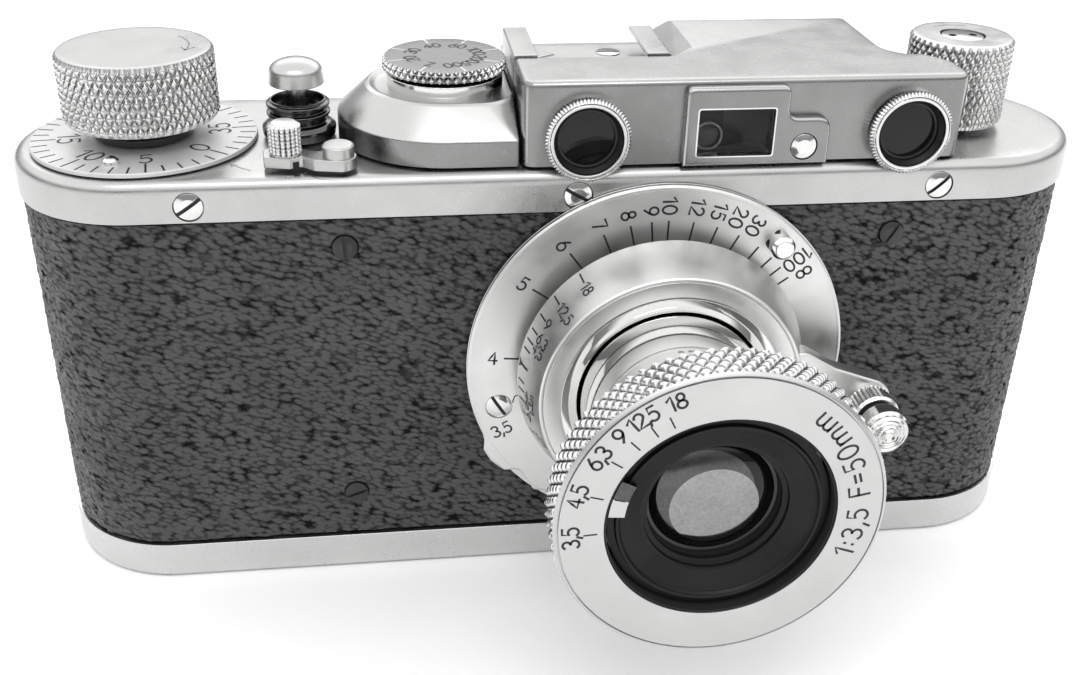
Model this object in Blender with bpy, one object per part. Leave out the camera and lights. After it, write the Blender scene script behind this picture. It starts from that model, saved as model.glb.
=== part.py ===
"""Rangefinder camera with a collapsible 50 mm lens.

Frame: +X is to the right when the camera is seen from the front, the lens points along -Y,
+Z is up, and the origin is the centre of the base plate's underside. Lengths are in metres.
"""
import math

import bmesh
import bpy
from mathutils import Vector

# ---------------------------------------------------------------- driving dimensions
GAP = 0.0003                      # clearance between touching pieces

BODY_LENGTH = 0.133
BODY_DEPTH = 0.030
SHEET = 0.0010                    # thickness of the pressed covers

BASE_RIM_Z = 0.0052               # top of the base plate's rim
BASE_FLOOR = 0.0012
COVERING_Z = (0.0056, 0.0505)
COVERING_THICKNESS = 0.0007
SKIRT_Z = 0.0508                  # lower edge of the top plate's skirt
TOP_Z = 0.0558                    # flat of the top plate
EDGE_ROUND = 0.0016

AXIS_X = 0.0107                   # lens axis
AXIS_Z = 0.0301

WIND_X = -0.0511
RELEASE_X = -0.0326
DIAL_X = -0.0147
REWIND_X = 0.0512
CONTROL_Y = -0.0003               # all the top controls stand on this line
LEVER_PIVOT = (-0.0277, -0.0123)

HOUSING_X = (-0.0066, 0.0469)
HOUSING_FRONT = -0.0139
HOUSING_REAR = 0.0124
HOUSING_Z = (TOP_Z + GAP, 0.0662)
SHOE_X = (-0.0067, 0.0127)
SHOE_Y = (-0.0039, 0.0085)
SHOE_Z = (0.0634, 0.0665)

WINDOW_Z = 0.0597
WINDOW_X = {"left": 0.0009, "right": 0.0396}
FINDER_X = (0.0136, 0.0230)
FINDER_Z = (0.0572, 0.0632)

MOUNT_RADIUS = 0.0241
FLANGE_RADIUS = 0.0240
FLANGE_Y = (-0.0159, -0.0155)
CONE_Y = (-0.0247, -0.0182)
CONE_RADIUS = (0.01615, 0.0181)    # at the front and at the rear
HELICOID_RADIUS = 0.0140
TUBE_RADIUS = 0.0113
TUBE_Y = (-0.0449, -0.0195)
BARREL_RADIUS = 0.0180
BARREL_Y = (-0.0490, -0.0436)
KNOB_RADIUS_FROM_AXIS = 0.0253
KNOB_ANGLE = math.radians(-5.7)
POINTER_ANGLE = math.radians(164)

FILM_X = (AXIS_X - 0.018, AXIS_X + 0.018)
FILM_Z = (AXIS_Z - 0.012, AXIS_Z + 0.012)

LOCK_X = 0.0510                   # base lock key
TRIPOD_X = -0.0510

# ---------------------------------------------------------------- materials
FINISHES = {
    "satin_chrome": ((0.62, 0.62, 0.61), 0.34, 1.0),
    "polished_steel": ((0.72, 0.72, 0.72), 0.14, 1.0),
    "blackened_steel": ((0.05, 0.05, 0.052), 0.38, 0.6),
    "black_paint": ((0.02, 0.02, 0.021), 0.55, 0.0),
    "covering": ((0.022, 0.022, 0.023), 0.62, 0.0),
    "glass": ((0.05, 0.055, 0.06), 0.04, 0.0),
    "brass": ((0.60, 0.46, 0.22), 0.35, 1.0),
    "curtain_cloth": ((0.03, 0.03, 0.03), 0.9, 0.0),
}


def material(finish):
    found = bpy.data.materials.get(finish)
    if found:
        return found
    colour, roughness, metallic = FINISHES[finish]
    made = bpy.data.materials.new(finish)
    made.use_nodes = True
    shader = made.node_tree.nodes["Principled BSDF"]
    shader.inputs["Base Color"].default_value = (*colour, 1.0)
    shader.inputs["Roughness"].default_value = roughness
    shader.inputs["Metallic"].default_value = metallic
    return made


# ---------------------------------------------------------------- building tools
def clear_scene():
    for item in list(bpy.data.objects):
        bpy.data.objects.remove(item, do_unlink=True)


def pivot(name, place):
    empty = bpy.data.objects.new(name, None)
    empty.location = place
    bpy.context.scene.collection.objects.link(empty)
    return empty


def object_from(bm, name, finish, origin, parent=None):
    """Turn a bmesh in world coordinates into an object whose origin is at the given point."""
    bmesh.ops.recalc_face_normals(bm, faces=bm.faces)
    bmesh.ops.translate(bm, verts=bm.verts, vec=-Vector(origin))
    mesh = bpy.data.meshes.new(name)
    bm.to_mesh(mesh)
    bm.free()
    mesh.shade_smooth()
    mesh.set_sharp_from_angle(angle=math.radians(35))
    mesh.materials.append(material(finish))
    made = bpy.data.objects.new(name, mesh)
    made.location = origin
    bpy.context.scene.collection.objects.link(made)
    if parent:
        made.parent = parent
        made.location = Vector(origin) - Vector(parent.location)
    return made


def skin(rings, closed=False):
    """Join rings of points by quads; an open stack is capped at both ends."""
    bm = bmesh.new()
    loops = [[bm.verts.new(point) for point in ring] for ring in rings]
    pairs = list(zip(loops[:-1], loops[1:]))
    if closed:
        pairs.append((loops[-1], loops[0]))
    else:
        bm.faces.new(loops[0])
        bm.faces.new(loops[-1])
    count = len(loops[0])
    for lower, upper in pairs:
        for i in range(count):
            j = (i + 1) % count
            bm.faces.new((lower[i], lower[j], upper[j], upper[i]))
    return bm


def circle(axis, centre, radius, height, steps):
    """Points of a circle about a line parallel to Z or Y; centre gives the other two places."""
    ring = []
    for i in range(steps):
        angle = 2 * math.pi * i / steps
        u = centre[0] + radius * math.cos(angle)
        v = centre[1] + radius * math.sin(angle)
        ring.append((u, v, height) if axis == "Z" else (u, height, v))
    return ring


def turned(name, finish, profile, axis, centre, closed=False, steps=32, parent=None):
    """A piece turned about Z or Y from (radius, height) points."""
    rings = [circle(axis, centre, radius, height, steps) for radius, height in profile]
    height = profile[0][1]
    origin = (centre[0], centre[1], height) if axis == "Z" else (centre[0], height, centre[1])
    return object_from(skin(rings, closed), name, finish, origin, parent)


def stadium(radius, steps=10):
    """Plan outline of the body: straight sides and round ends, the given half depth."""
    reach = BODY_LENGTH / 2 - BODY_DEPTH / 2
    points = []
    for side, start in ((1, -math.pi / 2), (-1, math.pi / 2)):
        for i in range(steps + 1):
            angle = start + math.pi * i / steps
            points.append((side * reach + radius * math.cos(angle), radius * math.sin(angle)))
    return points


def stadium_piece(name, finish, levels, closed, origin, parent=None):
    """A piece made of stadium outlines, each level being (half depth, height)."""
    rings = [[(x, y, height) for x, y in stadium(radius)] for radius, height in levels]
    return object_from(skin(rings, closed), name, finish, origin, parent)


def extruded(outline, axis, low, high):
    """A prism of an outline: plan outlines rise along Z, front outlines run along Y."""
    if axis == "Z":
        return skin([[(u, v, h) for u, v in outline] for h in (low, high)])
    return skin([[(u, h, v) for u, v in outline] for h in (low, high)])


def block(low, high):
    outline = [(low[0], low[1]), (high[0], low[1]), (high[0], high[1]), (low[0], high[1])]
    return extruded(outline, "Z", low[2], high[2])


def arc(centre, radius, start, end, steps):
    points = []
    for i in range(steps + 1):
        angle = math.radians(start + (end - start) * i / steps)
        points.append((centre[0] + radius * math.cos(angle), centre[1] + radius * math.sin(angle)))
    return points


def round_rectangle(x, y, radius, steps=3):
    """Outline of a rectangle with round corners, given its ranges."""
    points = []
    corners = ((x[1], y[0], -90), (x[1], y[1], 0), (x[0], y[1], 90), (x[0], y[0], 180))
    for corner_x, corner_y, start in corners:
        centre_x = corner_x - radius if corner_x == x[1] else corner_x + radius
        centre_y = corner_y - radius if corner_y == y[1] else corner_y + radius
        points += arc((centre_x, centre_y), radius, start, start + 90, steps)
    return points


def cutter(bm, name):
    made = object_from(bm, name, "black_paint", (0, 0, 0))
    made.hide_render = True
    made.display_type = "WIRE"
    return made


def combine(target, tool, operation="DIFFERENCE"):
    step = target.modifiers.new(tool.name, "BOOLEAN")
    step.operation = operation
    step.solver = "EXACT"
    step.object = tool


def drill(target, axis, centre, radius, low, high, steps=24):
    """Cut a round hole through a piece."""
    rings = [circle(axis, centre, radius, height, steps) for height in (low, high)]
    number = len(target.modifiers) + 1
    combine(target, cutter(skin(rings), f"{target.name}_hole_{number}"))


def mill(target, bm):
    """Cut a shape out of a piece."""
    number = len(target.modifiers) + 1
    combine(target, cutter(bm, f"{target.name}_cut_{number}"))


def round_upper_edges(bm, height, radius, segments=3):
    """Round the rim of the flat that lies at the given height."""
    rim = []
    for edge in bm.edges:
        at_height = all(abs(vert.co.z - height) < 1e-6 for vert in edge.verts)
        if at_height and any(abs(face.normal.z) < 0.5 for face in edge.link_faces):
            rim.append(edge)
    bmesh.ops.bevel(bm, geom=rim, offset=radius, segments=segments, profile=0.5, affect="EDGES")


LENS = (AXIS_X, AXIS_Z)


# ---------------------------------------------------------------- body
def build_shell():
    radius = BODY_DEPTH / 2 - SHEET - COVERING_THICKNESS + GAP
    inner = radius - 0.0011
    bottom = BASE_FLOOR + 0.0005
    top = TOP_Z - SHEET - 0.0004
    levels = [(radius, bottom), (radius, top), (inner, top), (inner, bottom)]
    shell = stadium_piece("body_shell", "blackened_steel", levels, True, (0, 0, bottom))
    drill(shell, "Y", LENS, 0.0185, -0.020, -0.006, 32)


def build_covering(screws):
    outer = BODY_DEPTH / 2 - 0.00025
    inner = outer - COVERING_THICKNESS
    low, high = COVERING_Z
    levels = [(outer, low), (outer, high), (inner, high), (inner, low)]
    covering = stadium_piece("leather_covering", "covering", levels, True, (0, 0, low))
    drill(covering, "Y", LENS, 0.0201, -0.020, -0.006, 32)
    for place in screws:
        drill(covering, "Y", place, 0.0018, -0.020, -0.006, 16)


def rounded_top(levels, radius, height):
    """Add the quarter round and the flat that close a pressed cover."""
    for i in range(4):
        angle = math.pi / 2 * (i + 1) / 4
        inset = EDGE_ROUND * (1 - math.cos(angle))
        levels.append((radius - inset, height - EDGE_ROUND * (1 - math.sin(angle))))


def build_top_plate(screws):
    radius = BODY_DEPTH / 2
    roof = TOP_Z - SHEET
    levels = [(radius - SHEET, roof), (radius - SHEET, SKIRT_Z), (radius, SKIRT_Z),
              (radius, TOP_Z - EDGE_ROUND)]
    rounded_top(levels, radius, TOP_Z)
    plate = stadium_piece("top_plate", "satin_chrome", levels, False, (0, 0, TOP_Z))
    holes = ((WIND_X, 0.0034), (RELEASE_X, 0.0014), (DIAL_X, 0.0023), (REWIND_X, 0.0026))
    for x, hole in holes:
        drill(plate, "Z", (x, CONTROL_Y), hole, 0.052, 0.058, 20)
    for place in screws:
        drill(plate, "Y", place, 0.0019, -0.017, -0.0125, 16)


def build_screws(name, places, radius):
    """Screw heads let into the front, each a low dome; the slots run at different angles."""
    back = -(BODY_DEPTH / 2 - SHEET - COVERING_THICKNESS + GAP) - GAP
    front = -BODY_DEPTH / 2 - 0.0001
    profile = [(radius, back), (radius, front + 0.0003), (radius * 0.75, front)]
    for number, place in enumerate(places, 1):
        turned(f"{name}_{number}", "polished_steel", profile, "Y", place, steps=20)


def boss_outline(radius, steps=14):
    """A half round on the left that runs straight to the housing on the right."""
    points = arc((DIAL_X, CONTROL_Y), radius, 90, 270, steps)
    right = HOUSING_X[0] - GAP
    return points + [(right, CONTROL_Y - radius), (right, CONTROL_Y + radius)]


def build_dial_boss():
    """The raised boss under the speed dial: upright wall, long slope and a dished top."""
    levels = [(0.0132, TOP_Z + GAP), (0.0132, 0.0592), (0.0127, 0.0598), (0.0097, 0.0624),
              (0.0092, 0.0626), (0.0084, 0.0620)]
    rings = [[(x, y, height) for x, y in boss_outline(radius)] for radius, height in levels]
    place = (DIAL_X, CONTROL_Y, TOP_Z + GAP)
    boss = object_from(skin(rings), "dial_boss", "satin_chrome", place)
    drill(boss, "Z", (DIAL_X, CONTROL_Y), 0.0023, 0.054, 0.064, 20)
    profile = [(0.0023, 0.0623), (0.0071, 0.0623), (0.0071, 0.0637), (0.0066, 0.0638), (0.0023, 0.0638)]
    turned("dial_collar", "polished_steel", profile, "Z", (DIAL_X, CONTROL_Y), True, 24)


def housing_outline(inset=0.0):
    """Plan of the rangefinder housing; its right flank draws in beside the rewind knob."""
    left, right = HOUSING_X[0] + inset, HOUSING_X[1] - inset
    front, rear = HOUSING_FRONT + inset, HOUSING_REAR - inset
    corner = 0.0020 - inset
    waist = 0.0400 - inset
    points = [(left, front)]
    points += arc((right - corner, front + corner), corner, -90, 0, 3)
    points += arc((right - 0.0060, front + 0.0040), 0.0060, 0, 58, 4)
    points += arc((waist + 0.0046 + inset, -0.0005 + inset), 0.0046 + inset, 238, 180, 4)
    points += arc((waist - 0.0010, rear - 0.0010), 0.0010, 0, 90, 2)
    points.append((left, rear))
    return points


def shoe_recess():
    """The sunk bay that the accessory shoe lies in: open at the left and rear, sloped at the right."""
    left, rear = HOUSING_X[0] - 0.002, HOUSING_REAR + 0.002
    floor, front = SHOE_Z[0] - 0.0002, SHOE_Y[0] - GAP
    bend, foot = 0.0134, 0.0130
    top = HOUSING_Z[1]
    plan_low = [(left, front), (foot, front), (foot, front + 0.0001), (foot, rear), (left, rear)]
    plan_mid = [(left, front), (foot, front), (bend, front + 0.0004), (bend, rear), (left, rear)]
    plan_top = [(left, front), (foot, front), (0.0160, front + 0.0036), (0.0160, rear), (left, rear)]
    rings = [[(x, y, floor) for x, y in plan_low],
             [(x, y, top - 0.0015) for x, y in plan_mid],
             [(x, y, top) for x, y in plan_top],
             [(x, y, top + 0.002) for x, y in plan_top]]
    return skin(rings)


def build_housing(eyepieces):
    low, high = HOUSING_Z
    bm = extruded(housing_outline(), "Z", low, high)
    bmesh.ops.recalc_face_normals(bm, faces=bm.faces)
    round_upper_edges(bm, high, 0.0010)
    housing = object_from(bm, "rangefinder_housing", "satin_chrome", (0, 0, low))
    mill(housing, shoe_recess())
    mill(housing, extruded(housing_outline(0.0012), "Z", low - 0.001, SHOE_Z[0] - 0.0014))
    finder = round_rectangle(FINDER_X, FINDER_Z, 0.0004, 1)
    mill(housing, extruded(finder, "Y", -0.0160, -0.0120))
    for x in WINDOW_X.values():
        drill(housing, "Y", (x, WINDOW_Z), 0.0037, -0.0160, -0.0120, 24)
    for x, z, bore in eyepieces:
        drill(housing, "Y", (x, z), bore, 0.0105, 0.0140, 20)


def build_shoe():
    """A folded channel: floor with a raised seat, two low walls and inward lips, front to back."""
    x, (low, high) = SHOE_X, SHOE_Z
    wall, sheet, lip, seat = 0.0004, 0.0006, 0.0030, 0.0001
    half = [(x[0], low), (x[0], high), (x[0] + lip, high), (x[0] + lip, high - sheet),
            (x[0] + wall, high - sheet), (x[0] + wall, low + sheet),
            (x[0] + lip + GAP, low + sheet), (x[0] + lip + GAP, low + sheet + seat)]
    middle = x[0] + x[1]
    outline = half + [(middle - u, v) for u, v in reversed(half)]
    object_from(extruded(outline, "Y", *SHOE_Y), "accessory_shoe", "satin_chrome",
                (middle / 2, 0, low))


def build_finder():
    """Viewfinder frame with its screw lobe, the window glass and the screw."""
    outline = [(0.0122, 0.0561), (0.0298, 0.0561)]
    outline += arc((0.0280, 0.0600), 0.0018, 0, 90, 3)
    outline += arc((0.0258, 0.0630), 0.0012, 270, 180, 2)
    outline += arc((0.0236, 0.0646), 0.0010, 0, 90, 3)
    outline += arc((0.0132, 0.0646), 0.0010, 90, 180, 3)
    back = HOUSING_FRONT - GAP
    frame = object_from(extruded(outline, "Y", back - 0.0010, back), "viewfinder_frame",
                        "satin_chrome", (0.018, back, 0.0602))
    opening = round_rectangle(FINDER_X, FINDER_Z, 0.0003, 1)
    mill(frame, extruded(opening, "Y", -0.0165, -0.0130))
    drill(frame, "Y", (0.0267, 0.0583), 0.00175, -0.0165, -0.0130, 16)
    screw = [(0.00155, back), (0.00155, back - 0.0009), (0.0012, back - 0.0012)]
    turned("viewfinder_frame_screw", "polished_steel", screw, "Y", (0.0267, 0.0583), steps=16)
    low = (FINDER_X[0] + GAP, back - 0.0001, FINDER_Z[0] + GAP)
    high = (FINDER_X[1] - GAP, back + 0.0006, FINDER_Z[1] - GAP)
    object_from(block(low, high), "viewfinder_glass", "glass", low)


def build_windows():
    """Rangefinder windows: a ring that stands over the plate's edge, with its glass inside."""
    back = HOUSING_FRONT - GAP
    front = back - 0.0017
    ring = [(0.0040, back), (0.0047, back), (0.0051, back - 0.0011), (0.0051, front + 0.0003),
            (0.0048, front), (0.0042, front), (0.0040, front + 0.0004)]
    for side, x in WINDOW_X.items():
        made = turned(f"window_ring_{side}", "polished_steel", ring, "Y", (x, WINDOW_Z), True, 24)
        edge = (x - 0.008, -BODY_DEPTH / 2 - 0.00025, TOP_Z - 0.004)
        mill(made, block(edge, (x + 0.008, HOUSING_FRONT + 0.001, TOP_Z + GAP)))
        pane = [(0.0034, back + 0.0006), (0.0034, back), (0.0030, back - 0.0002)]
        turned(f"window_glass_{side}", "glass", pane, "Y", (x, WINDOW_Z), steps=24)


def build_eyepieces(eyepieces):
    face = HOUSING_REAR + GAP
    for name, (x, z, bore) in zip(("viewfinder_eyepiece", "rangefinder_eyepiece"), eyepieces):
        profile = [(bore, face), (bore + 0.0012, face), (bore + 0.0012, face + 0.0012),
                   (bore + 0.0008, face + 0.0016), (bore + 0.0002, face + 0.0016),
                   (bore, face + 0.0010)]
        turned(name, "blackened_steel", profile, "Y", (x, z), True, 20)


def build_release_collar():
    """Threaded collar round the shutter release, on a sloped foot."""
    low = TOP_Z + GAP
    profile = [(0.0014, low), (0.0045, low), (0.0045, 0.0569), (0.0040, 0.0576), (0.0036, 0.0578),
               (0.0036, 0.0584), (0.0038, 0.0586), (0.0038, 0.0591), (0.0036, 0.0593),
               (0.0036, 0.0597), (0.0038, 0.0599), (0.0038, 0.0604), (0.0036, 0.0606),
               (0.0030, 0.0606), (0.0030, 0.0600), (0.0014, 0.0600)]
    turned("release_collar", "blackened_steel", profile, "Z", (RELEASE_X, CONTROL_Y), True, 18)


def build_chamber():
    """Light box with the film gate, the pressure plate and the focal-plane shutter."""
    crate_x = (-0.0212, 0.0352)
    crate_y = (-0.0118, 0.0112)
    crate_z = (0.0080, 0.0520)
    wall = 0.0012
    low = (crate_x[0], crate_y[0], crate_z[0])
    high = (crate_x[1], crate_y[1], crate_z[1])
    crate = object_from(block(low, high), "shutter_crate", "black_paint", low)
    hollow_low = (crate_x[0] + wall, crate_y[0] + wall, crate_z[0] + wall)
    hollow_high = (crate_x[1] - wall, crate_y[1] - wall, crate_z[1] - wall)
    mill(crate, block(hollow_low, hollow_high))
    drill(crate, "Y", LENS, 0.0119, -0.0130, -0.0080, 32)
    drill(crate, "Z", (DIAL_X, CONTROL_Y), 0.0023, 0.050, 0.053, 16)
    mill(crate, block((FILM_X[0], 0.0080, FILM_Z[0]), (FILM_X[1], 0.0130, FILM_Z[1])))
    low = (FILM_X[0] - 0.003, crate_y[1] + GAP, FILM_Z[0] - 0.005)
    high = (FILM_X[1] + 0.003, crate_y[1] + 0.0009, FILM_Z[1] + 0.005)
    object_from(block(low, high), "pressure_plate", "blackened_steel", low)
    low = (-0.0100, 0.0088, FILM_Z[0] - 0.003)
    high = (0.0305, 0.0091, FILM_Z[1] + 0.003)
    object_from(block(low, high), "shutter_curtain", "curtain_cloth", low)
    roller = [(0.0022, 0.0120), (0.0022, 0.0500)]
    turned("shutter_roller", "brass", roller, "Z", (0.0312, 0.0055), steps=16)


def flange_outline():
    """The distance plate: a circle whose lower left carries the scalloped infinity catch."""
    points = arc(LENS, FLANGE_RADIUS, -124, 203, 32)
    for radius, angle in ((0.0243, 206.6), (0.0250, 211.4), (0.02485, 216.4), (0.0236, 222.4),
                          (0.02395, 229.1), (0.0231, 234)):
        points.append(point_at(radius, angle))
    return points


def point_at(radius, angle):
    """A point in the lens's plane, by its radius and its angle in degrees."""
    turn = math.radians(angle)
    return (AXIS_X + radius * math.cos(turn), AXIS_Z + radius * math.sin(turn))


def build_mount():
    """Body mount ring, distance plate and the focus stop stud."""
    back = -0.0139
    seat = -BODY_DEPTH / 2 - 0.00015
    front = FLANGE_Y[1] + GAP / 2
    profile = [(0.0172, back), (0.0198, back), (0.0198, seat), (MOUNT_RADIUS, seat),
               (MOUNT_RADIUS, front), (0.0172, front)]
    turned("mount_ring", "satin_chrome", profile, "Y", LENS, True, 36)
    place = (AXIS_X, FLANGE_Y[1], AXIS_Z)
    flange = object_from(extruded(flange_outline(), "Y", *FLANGE_Y), "lens_flange",
                         "satin_chrome", place)
    drill(flange, "Y", LENS, HELICOID_RADIUS + 0.0004, -0.0200, -0.0140, 36)
    stud = [(0.0013, FLANGE_Y[0] - 0.0002), (0.0013, FLANGE_Y[0] - 0.0016),
            (0.0009, FLANGE_Y[0] - 0.0021)]
    turned("focus_stop_stud", "polished_steel", stud, "Y", point_at(0.0215, 48.5), steps=12)


# ---------------------------------------------------------------- base plate and its lock
def build_base():
    """The removable base plate, which hooks on at the tripod end, and its tripod bush."""
    hook = pivot("base_hook", (-0.0660, 0, BASE_RIM_Z - 0.0002))
    radius = BODY_DEPTH / 2
    levels = [(radius - SHEET, BASE_FLOOR), (radius - SHEET, BASE_RIM_Z), (radius, BASE_RIM_Z),
              (radius, 0.0010), (radius - 0.0003, 0.0003), (radius - 0.0010, 0.0)]
    base = stadium_piece("base_plate", "satin_chrome", levels, False, (0, 0, 0), hook)
    drill(base, "Z", (LOCK_X, 0), 0.0079, -0.001, 0.003, 32)
    drill(base, "Z", (TRIPOD_X, 0), 0.0063, -0.001, 0.003, 28)
    bush = [(0.0030, 0.0001), (0.0060, 0.0001), (0.0060, 0.0015), (0.0072, 0.0015),
            (0.0072, 0.0050), (0.0030, 0.0050)]
    turned("tripod_bush", "polished_steel", bush, "Z", (TRIPOD_X, 0), True, 20, hook)


def build_base_lock():
    """The turning key in the base plate and the half-round handle that folds into it."""
    key = pivot("base_lock_axis", (LOCK_X, 0, 0))
    profile = [(0.0068, 0.0010), (0.0070, 0.0001), (0.0076, 0.0001), (0.0076, 0.0015),
               (0.0090, 0.0015), (0.0090, 0.0022), (0.0034, 0.0022), (0.0034, 0.0036)]
    turned("base_lock_key", "satin_chrome", profile, "Z", (LOCK_X, 0), steps=24, parent=key)
    thin = 0.00028
    middle = 0.00052
    outer = arc((LOCK_X, 0), 0.0062, 0, 180, 14)
    inner = arc((LOCK_X, 0), 0.0050, 180, 0, 12)
    feet = [(LOCK_X - 0.0062, -thin), (LOCK_X - 0.0050, -thin)]
    other = [(LOCK_X + 0.0050, -thin), (LOCK_X + 0.0062, -thin)]
    bm = extruded(outer + feet + inner + other, "Z", middle - thin, middle + thin)
    object_from(bm, "base_key_handle", "polished_steel", (LOCK_X, 0, middle))


# ---------------------------------------------------------------- top controls
def build_wind():
    """Wind knob, shaft and take-up spool, which turn together."""
    spot = (WIND_X, CONTROL_Y)
    axis = pivot("wind_axis", (*spot, 0))
    knob = [(0.0086, 0.0595), (0.0092, 0.0600), (0.0092, 0.0666), (0.0087, 0.0672)]
    turned("wind_knob", "satin_chrome", knob, "Z", spot, steps=32, parent=axis)
    shaft = [(0.0030, 0.0070), (0.0030, 0.0568), (0.0076, 0.0568), (0.0076, 0.0578),
             (0.0050, 0.0579), (0.0050, 0.0592)]
    turned("wind_shaft", "blackened_steel", shaft, "Z", spot, steps=20, parent=axis)
    spool = [(0.0033, 0.0090), (0.0110, 0.0090), (0.0110, 0.0100), (0.0055, 0.0100),
             (0.0055, 0.0460), (0.0110, 0.0460), (0.0110, 0.0470), (0.0033, 0.0470)]
    turned("take_up_spool", "black_paint", spool, "Z", spot, True, 20, axis)
    disc = [(0.0034, 0.0560), (0.0134, 0.0560), (0.0134, 0.0562), (0.0132, 0.0565), (0.0034, 0.0565)]
    turned("counter_disc", "satin_chrome", disc, "Z", spot, True, 32)


def build_release():
    """The mushroom button on its thin stem."""
    profile = [(0.0010, 0.0480), (0.0010, 0.0622), (0.0027, 0.0624), (0.0033, 0.0628),
               (0.00335, 0.0642), (0.0029, 0.0649), (0.0018, 0.0654), (0.0006, 0.0656)]
    turned("release_button", "polished_steel", profile, "Z", (RELEASE_X, CONTROL_Y), steps=20)


def build_dial():
    """Speed dial on its shaft; the dial lifts on the shaft to be set."""
    spot = (DIAL_X, CONTROL_Y)
    axis = pivot("dial_axis", (*spot, 0))
    shaft = [(0.0040, 0.0120), (0.0040, 0.0490), (0.0020, 0.0490), (0.0020, 0.0637),
             (0.0014, 0.0637), (0.0014, 0.0600)]
    turned("speed_dial_shaft", "brass", shaft, "Z", spot, steps=20, parent=axis)
    dial = [(0.0011, 0.0605), (0.0011, 0.0641), (0.0072, 0.0641), (0.00757, 0.0644),
            (0.00757, 0.0653), (0.0073, 0.0656)]
    turned("speed_dial", "satin_chrome", dial, "Z", spot, steps=28, parent=axis)


def build_rewind():
    """Rewind knob on its forked shaft; the knob lifts so that fingers can turn it."""
    spot = (REWIND_X, CONTROL_Y)
    axis = pivot("rewind_axis", (*spot, 0))
    shaft = [(0.0035, 0.0440), (0.0035, 0.0500), (0.0022, 0.0504), (0.0022, 0.0634)]
    made = turned("rewind_shaft", "polished_steel", shaft, "Z", spot, steps=20, parent=axis)
    slot_low = (REWIND_X - 0.0050, CONTROL_Y - 0.0009, 0.0430)
    mill(made, block(slot_low, (REWIND_X + 0.0050, CONTROL_Y + 0.0009, 0.0475)))
    knob = [(0.0025, 0.0640), (0.0025, 0.0565), (0.0061, 0.0565), (0.0065, 0.0569),
            (0.0065, 0.0667), (0.0060, 0.0672), (0.0029, 0.0672), (0.0029, 0.0664)]
    turned("rewind_knob", "satin_chrome", knob, "Z", spot, steps=24, parent=axis)
    nut = [(0.0025, 0.0667), (0.0025, 0.0671), (0.0022, 0.0672)]
    turned("rewind_knob_nut", "polished_steel", nut, "Z", spot, steps=16, parent=axis)


def build_lever():
    """The advance and rewind lever: arm, knurled peg and pivot cap."""
    x, y = LEVER_PIVOT
    axis = pivot("lever_axis", (x, y, 0))
    outline = arc((x, y), 0.0021, -90, 90, 8)
    outline += [(x - 0.0030, y + 0.0016), (x - 0.0042, y + 0.0026), (x - 0.0082, y + 0.0030),
                (x - 0.0087, y + 0.0026), (x - 0.0084, y - 0.0008), (x - 0.0079, y - 0.0011),
                (x - 0.0040, y - 0.0009), (x - 0.0026, y - 0.0020)]
    bm = extruded(outline, "Z", 0.0564, 0.0576)
    object_from(bm, "rewind_lever", "satin_chrome", (x, y, 0.0564), axis)
    cap = [(0.00185, 0.0578), (0.00185, 0.0587), (0.0016, 0.0590)]
    turned("rewind_lever_cap", "polished_steel", cap, "Z", (x, y), steps=20, parent=axis)
    peg = [(0.0019, 0.0578), (0.0019, 0.0611), (0.0014, 0.0615)]
    spot = (x - 0.0060, y + 0.0009)
    turned("rewind_lever_peg", "polished_steel", peg, "Z", spot, steps=20, parent=axis)


# ---------------------------------------------------------------- lens
def build_focus():
    """Helicoid ring, focus cone with its lever, and the infinity lock button."""
    axis = pivot("focus_axis", (AXIS_X, CONE_Y[1], AXIS_Z))
    outer = HELICOID_RADIUS
    ring = [(0.0124, -0.0145), (outer, -0.0145), (outer, -0.0182), (0.0124, -0.0182)]
    turned("helicoid_ring", "brass", ring, "Y", LENS, True, 24, axis)
    front, rear = CONE_Y
    bore = TUBE_RADIUS + 0.0004
    cone = [(0.0145, rear), (CONE_RADIUS[1], rear), (CONE_RADIUS[1] - 0.0001, rear - 0.0004),
            (CONE_RADIUS[0], front + 0.0002), (CONE_RADIUS[0] - 0.0003, front), (bore, front),
            (bore, front + 0.0022), (0.0145, front + 0.0022)]
    turned("focus_cone", "satin_chrome", cone, "Y", LENS, True, 36, axis)
    build_focus_lever(axis)
    grip = [(0.0117, -0.0222), (0.0141, -0.0222), (0.0141, -0.0208), (0.0117, -0.0208)]
    turned("bayonet_ring", "brass", grip, "Y", LENS, True, 24, axis)


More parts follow.
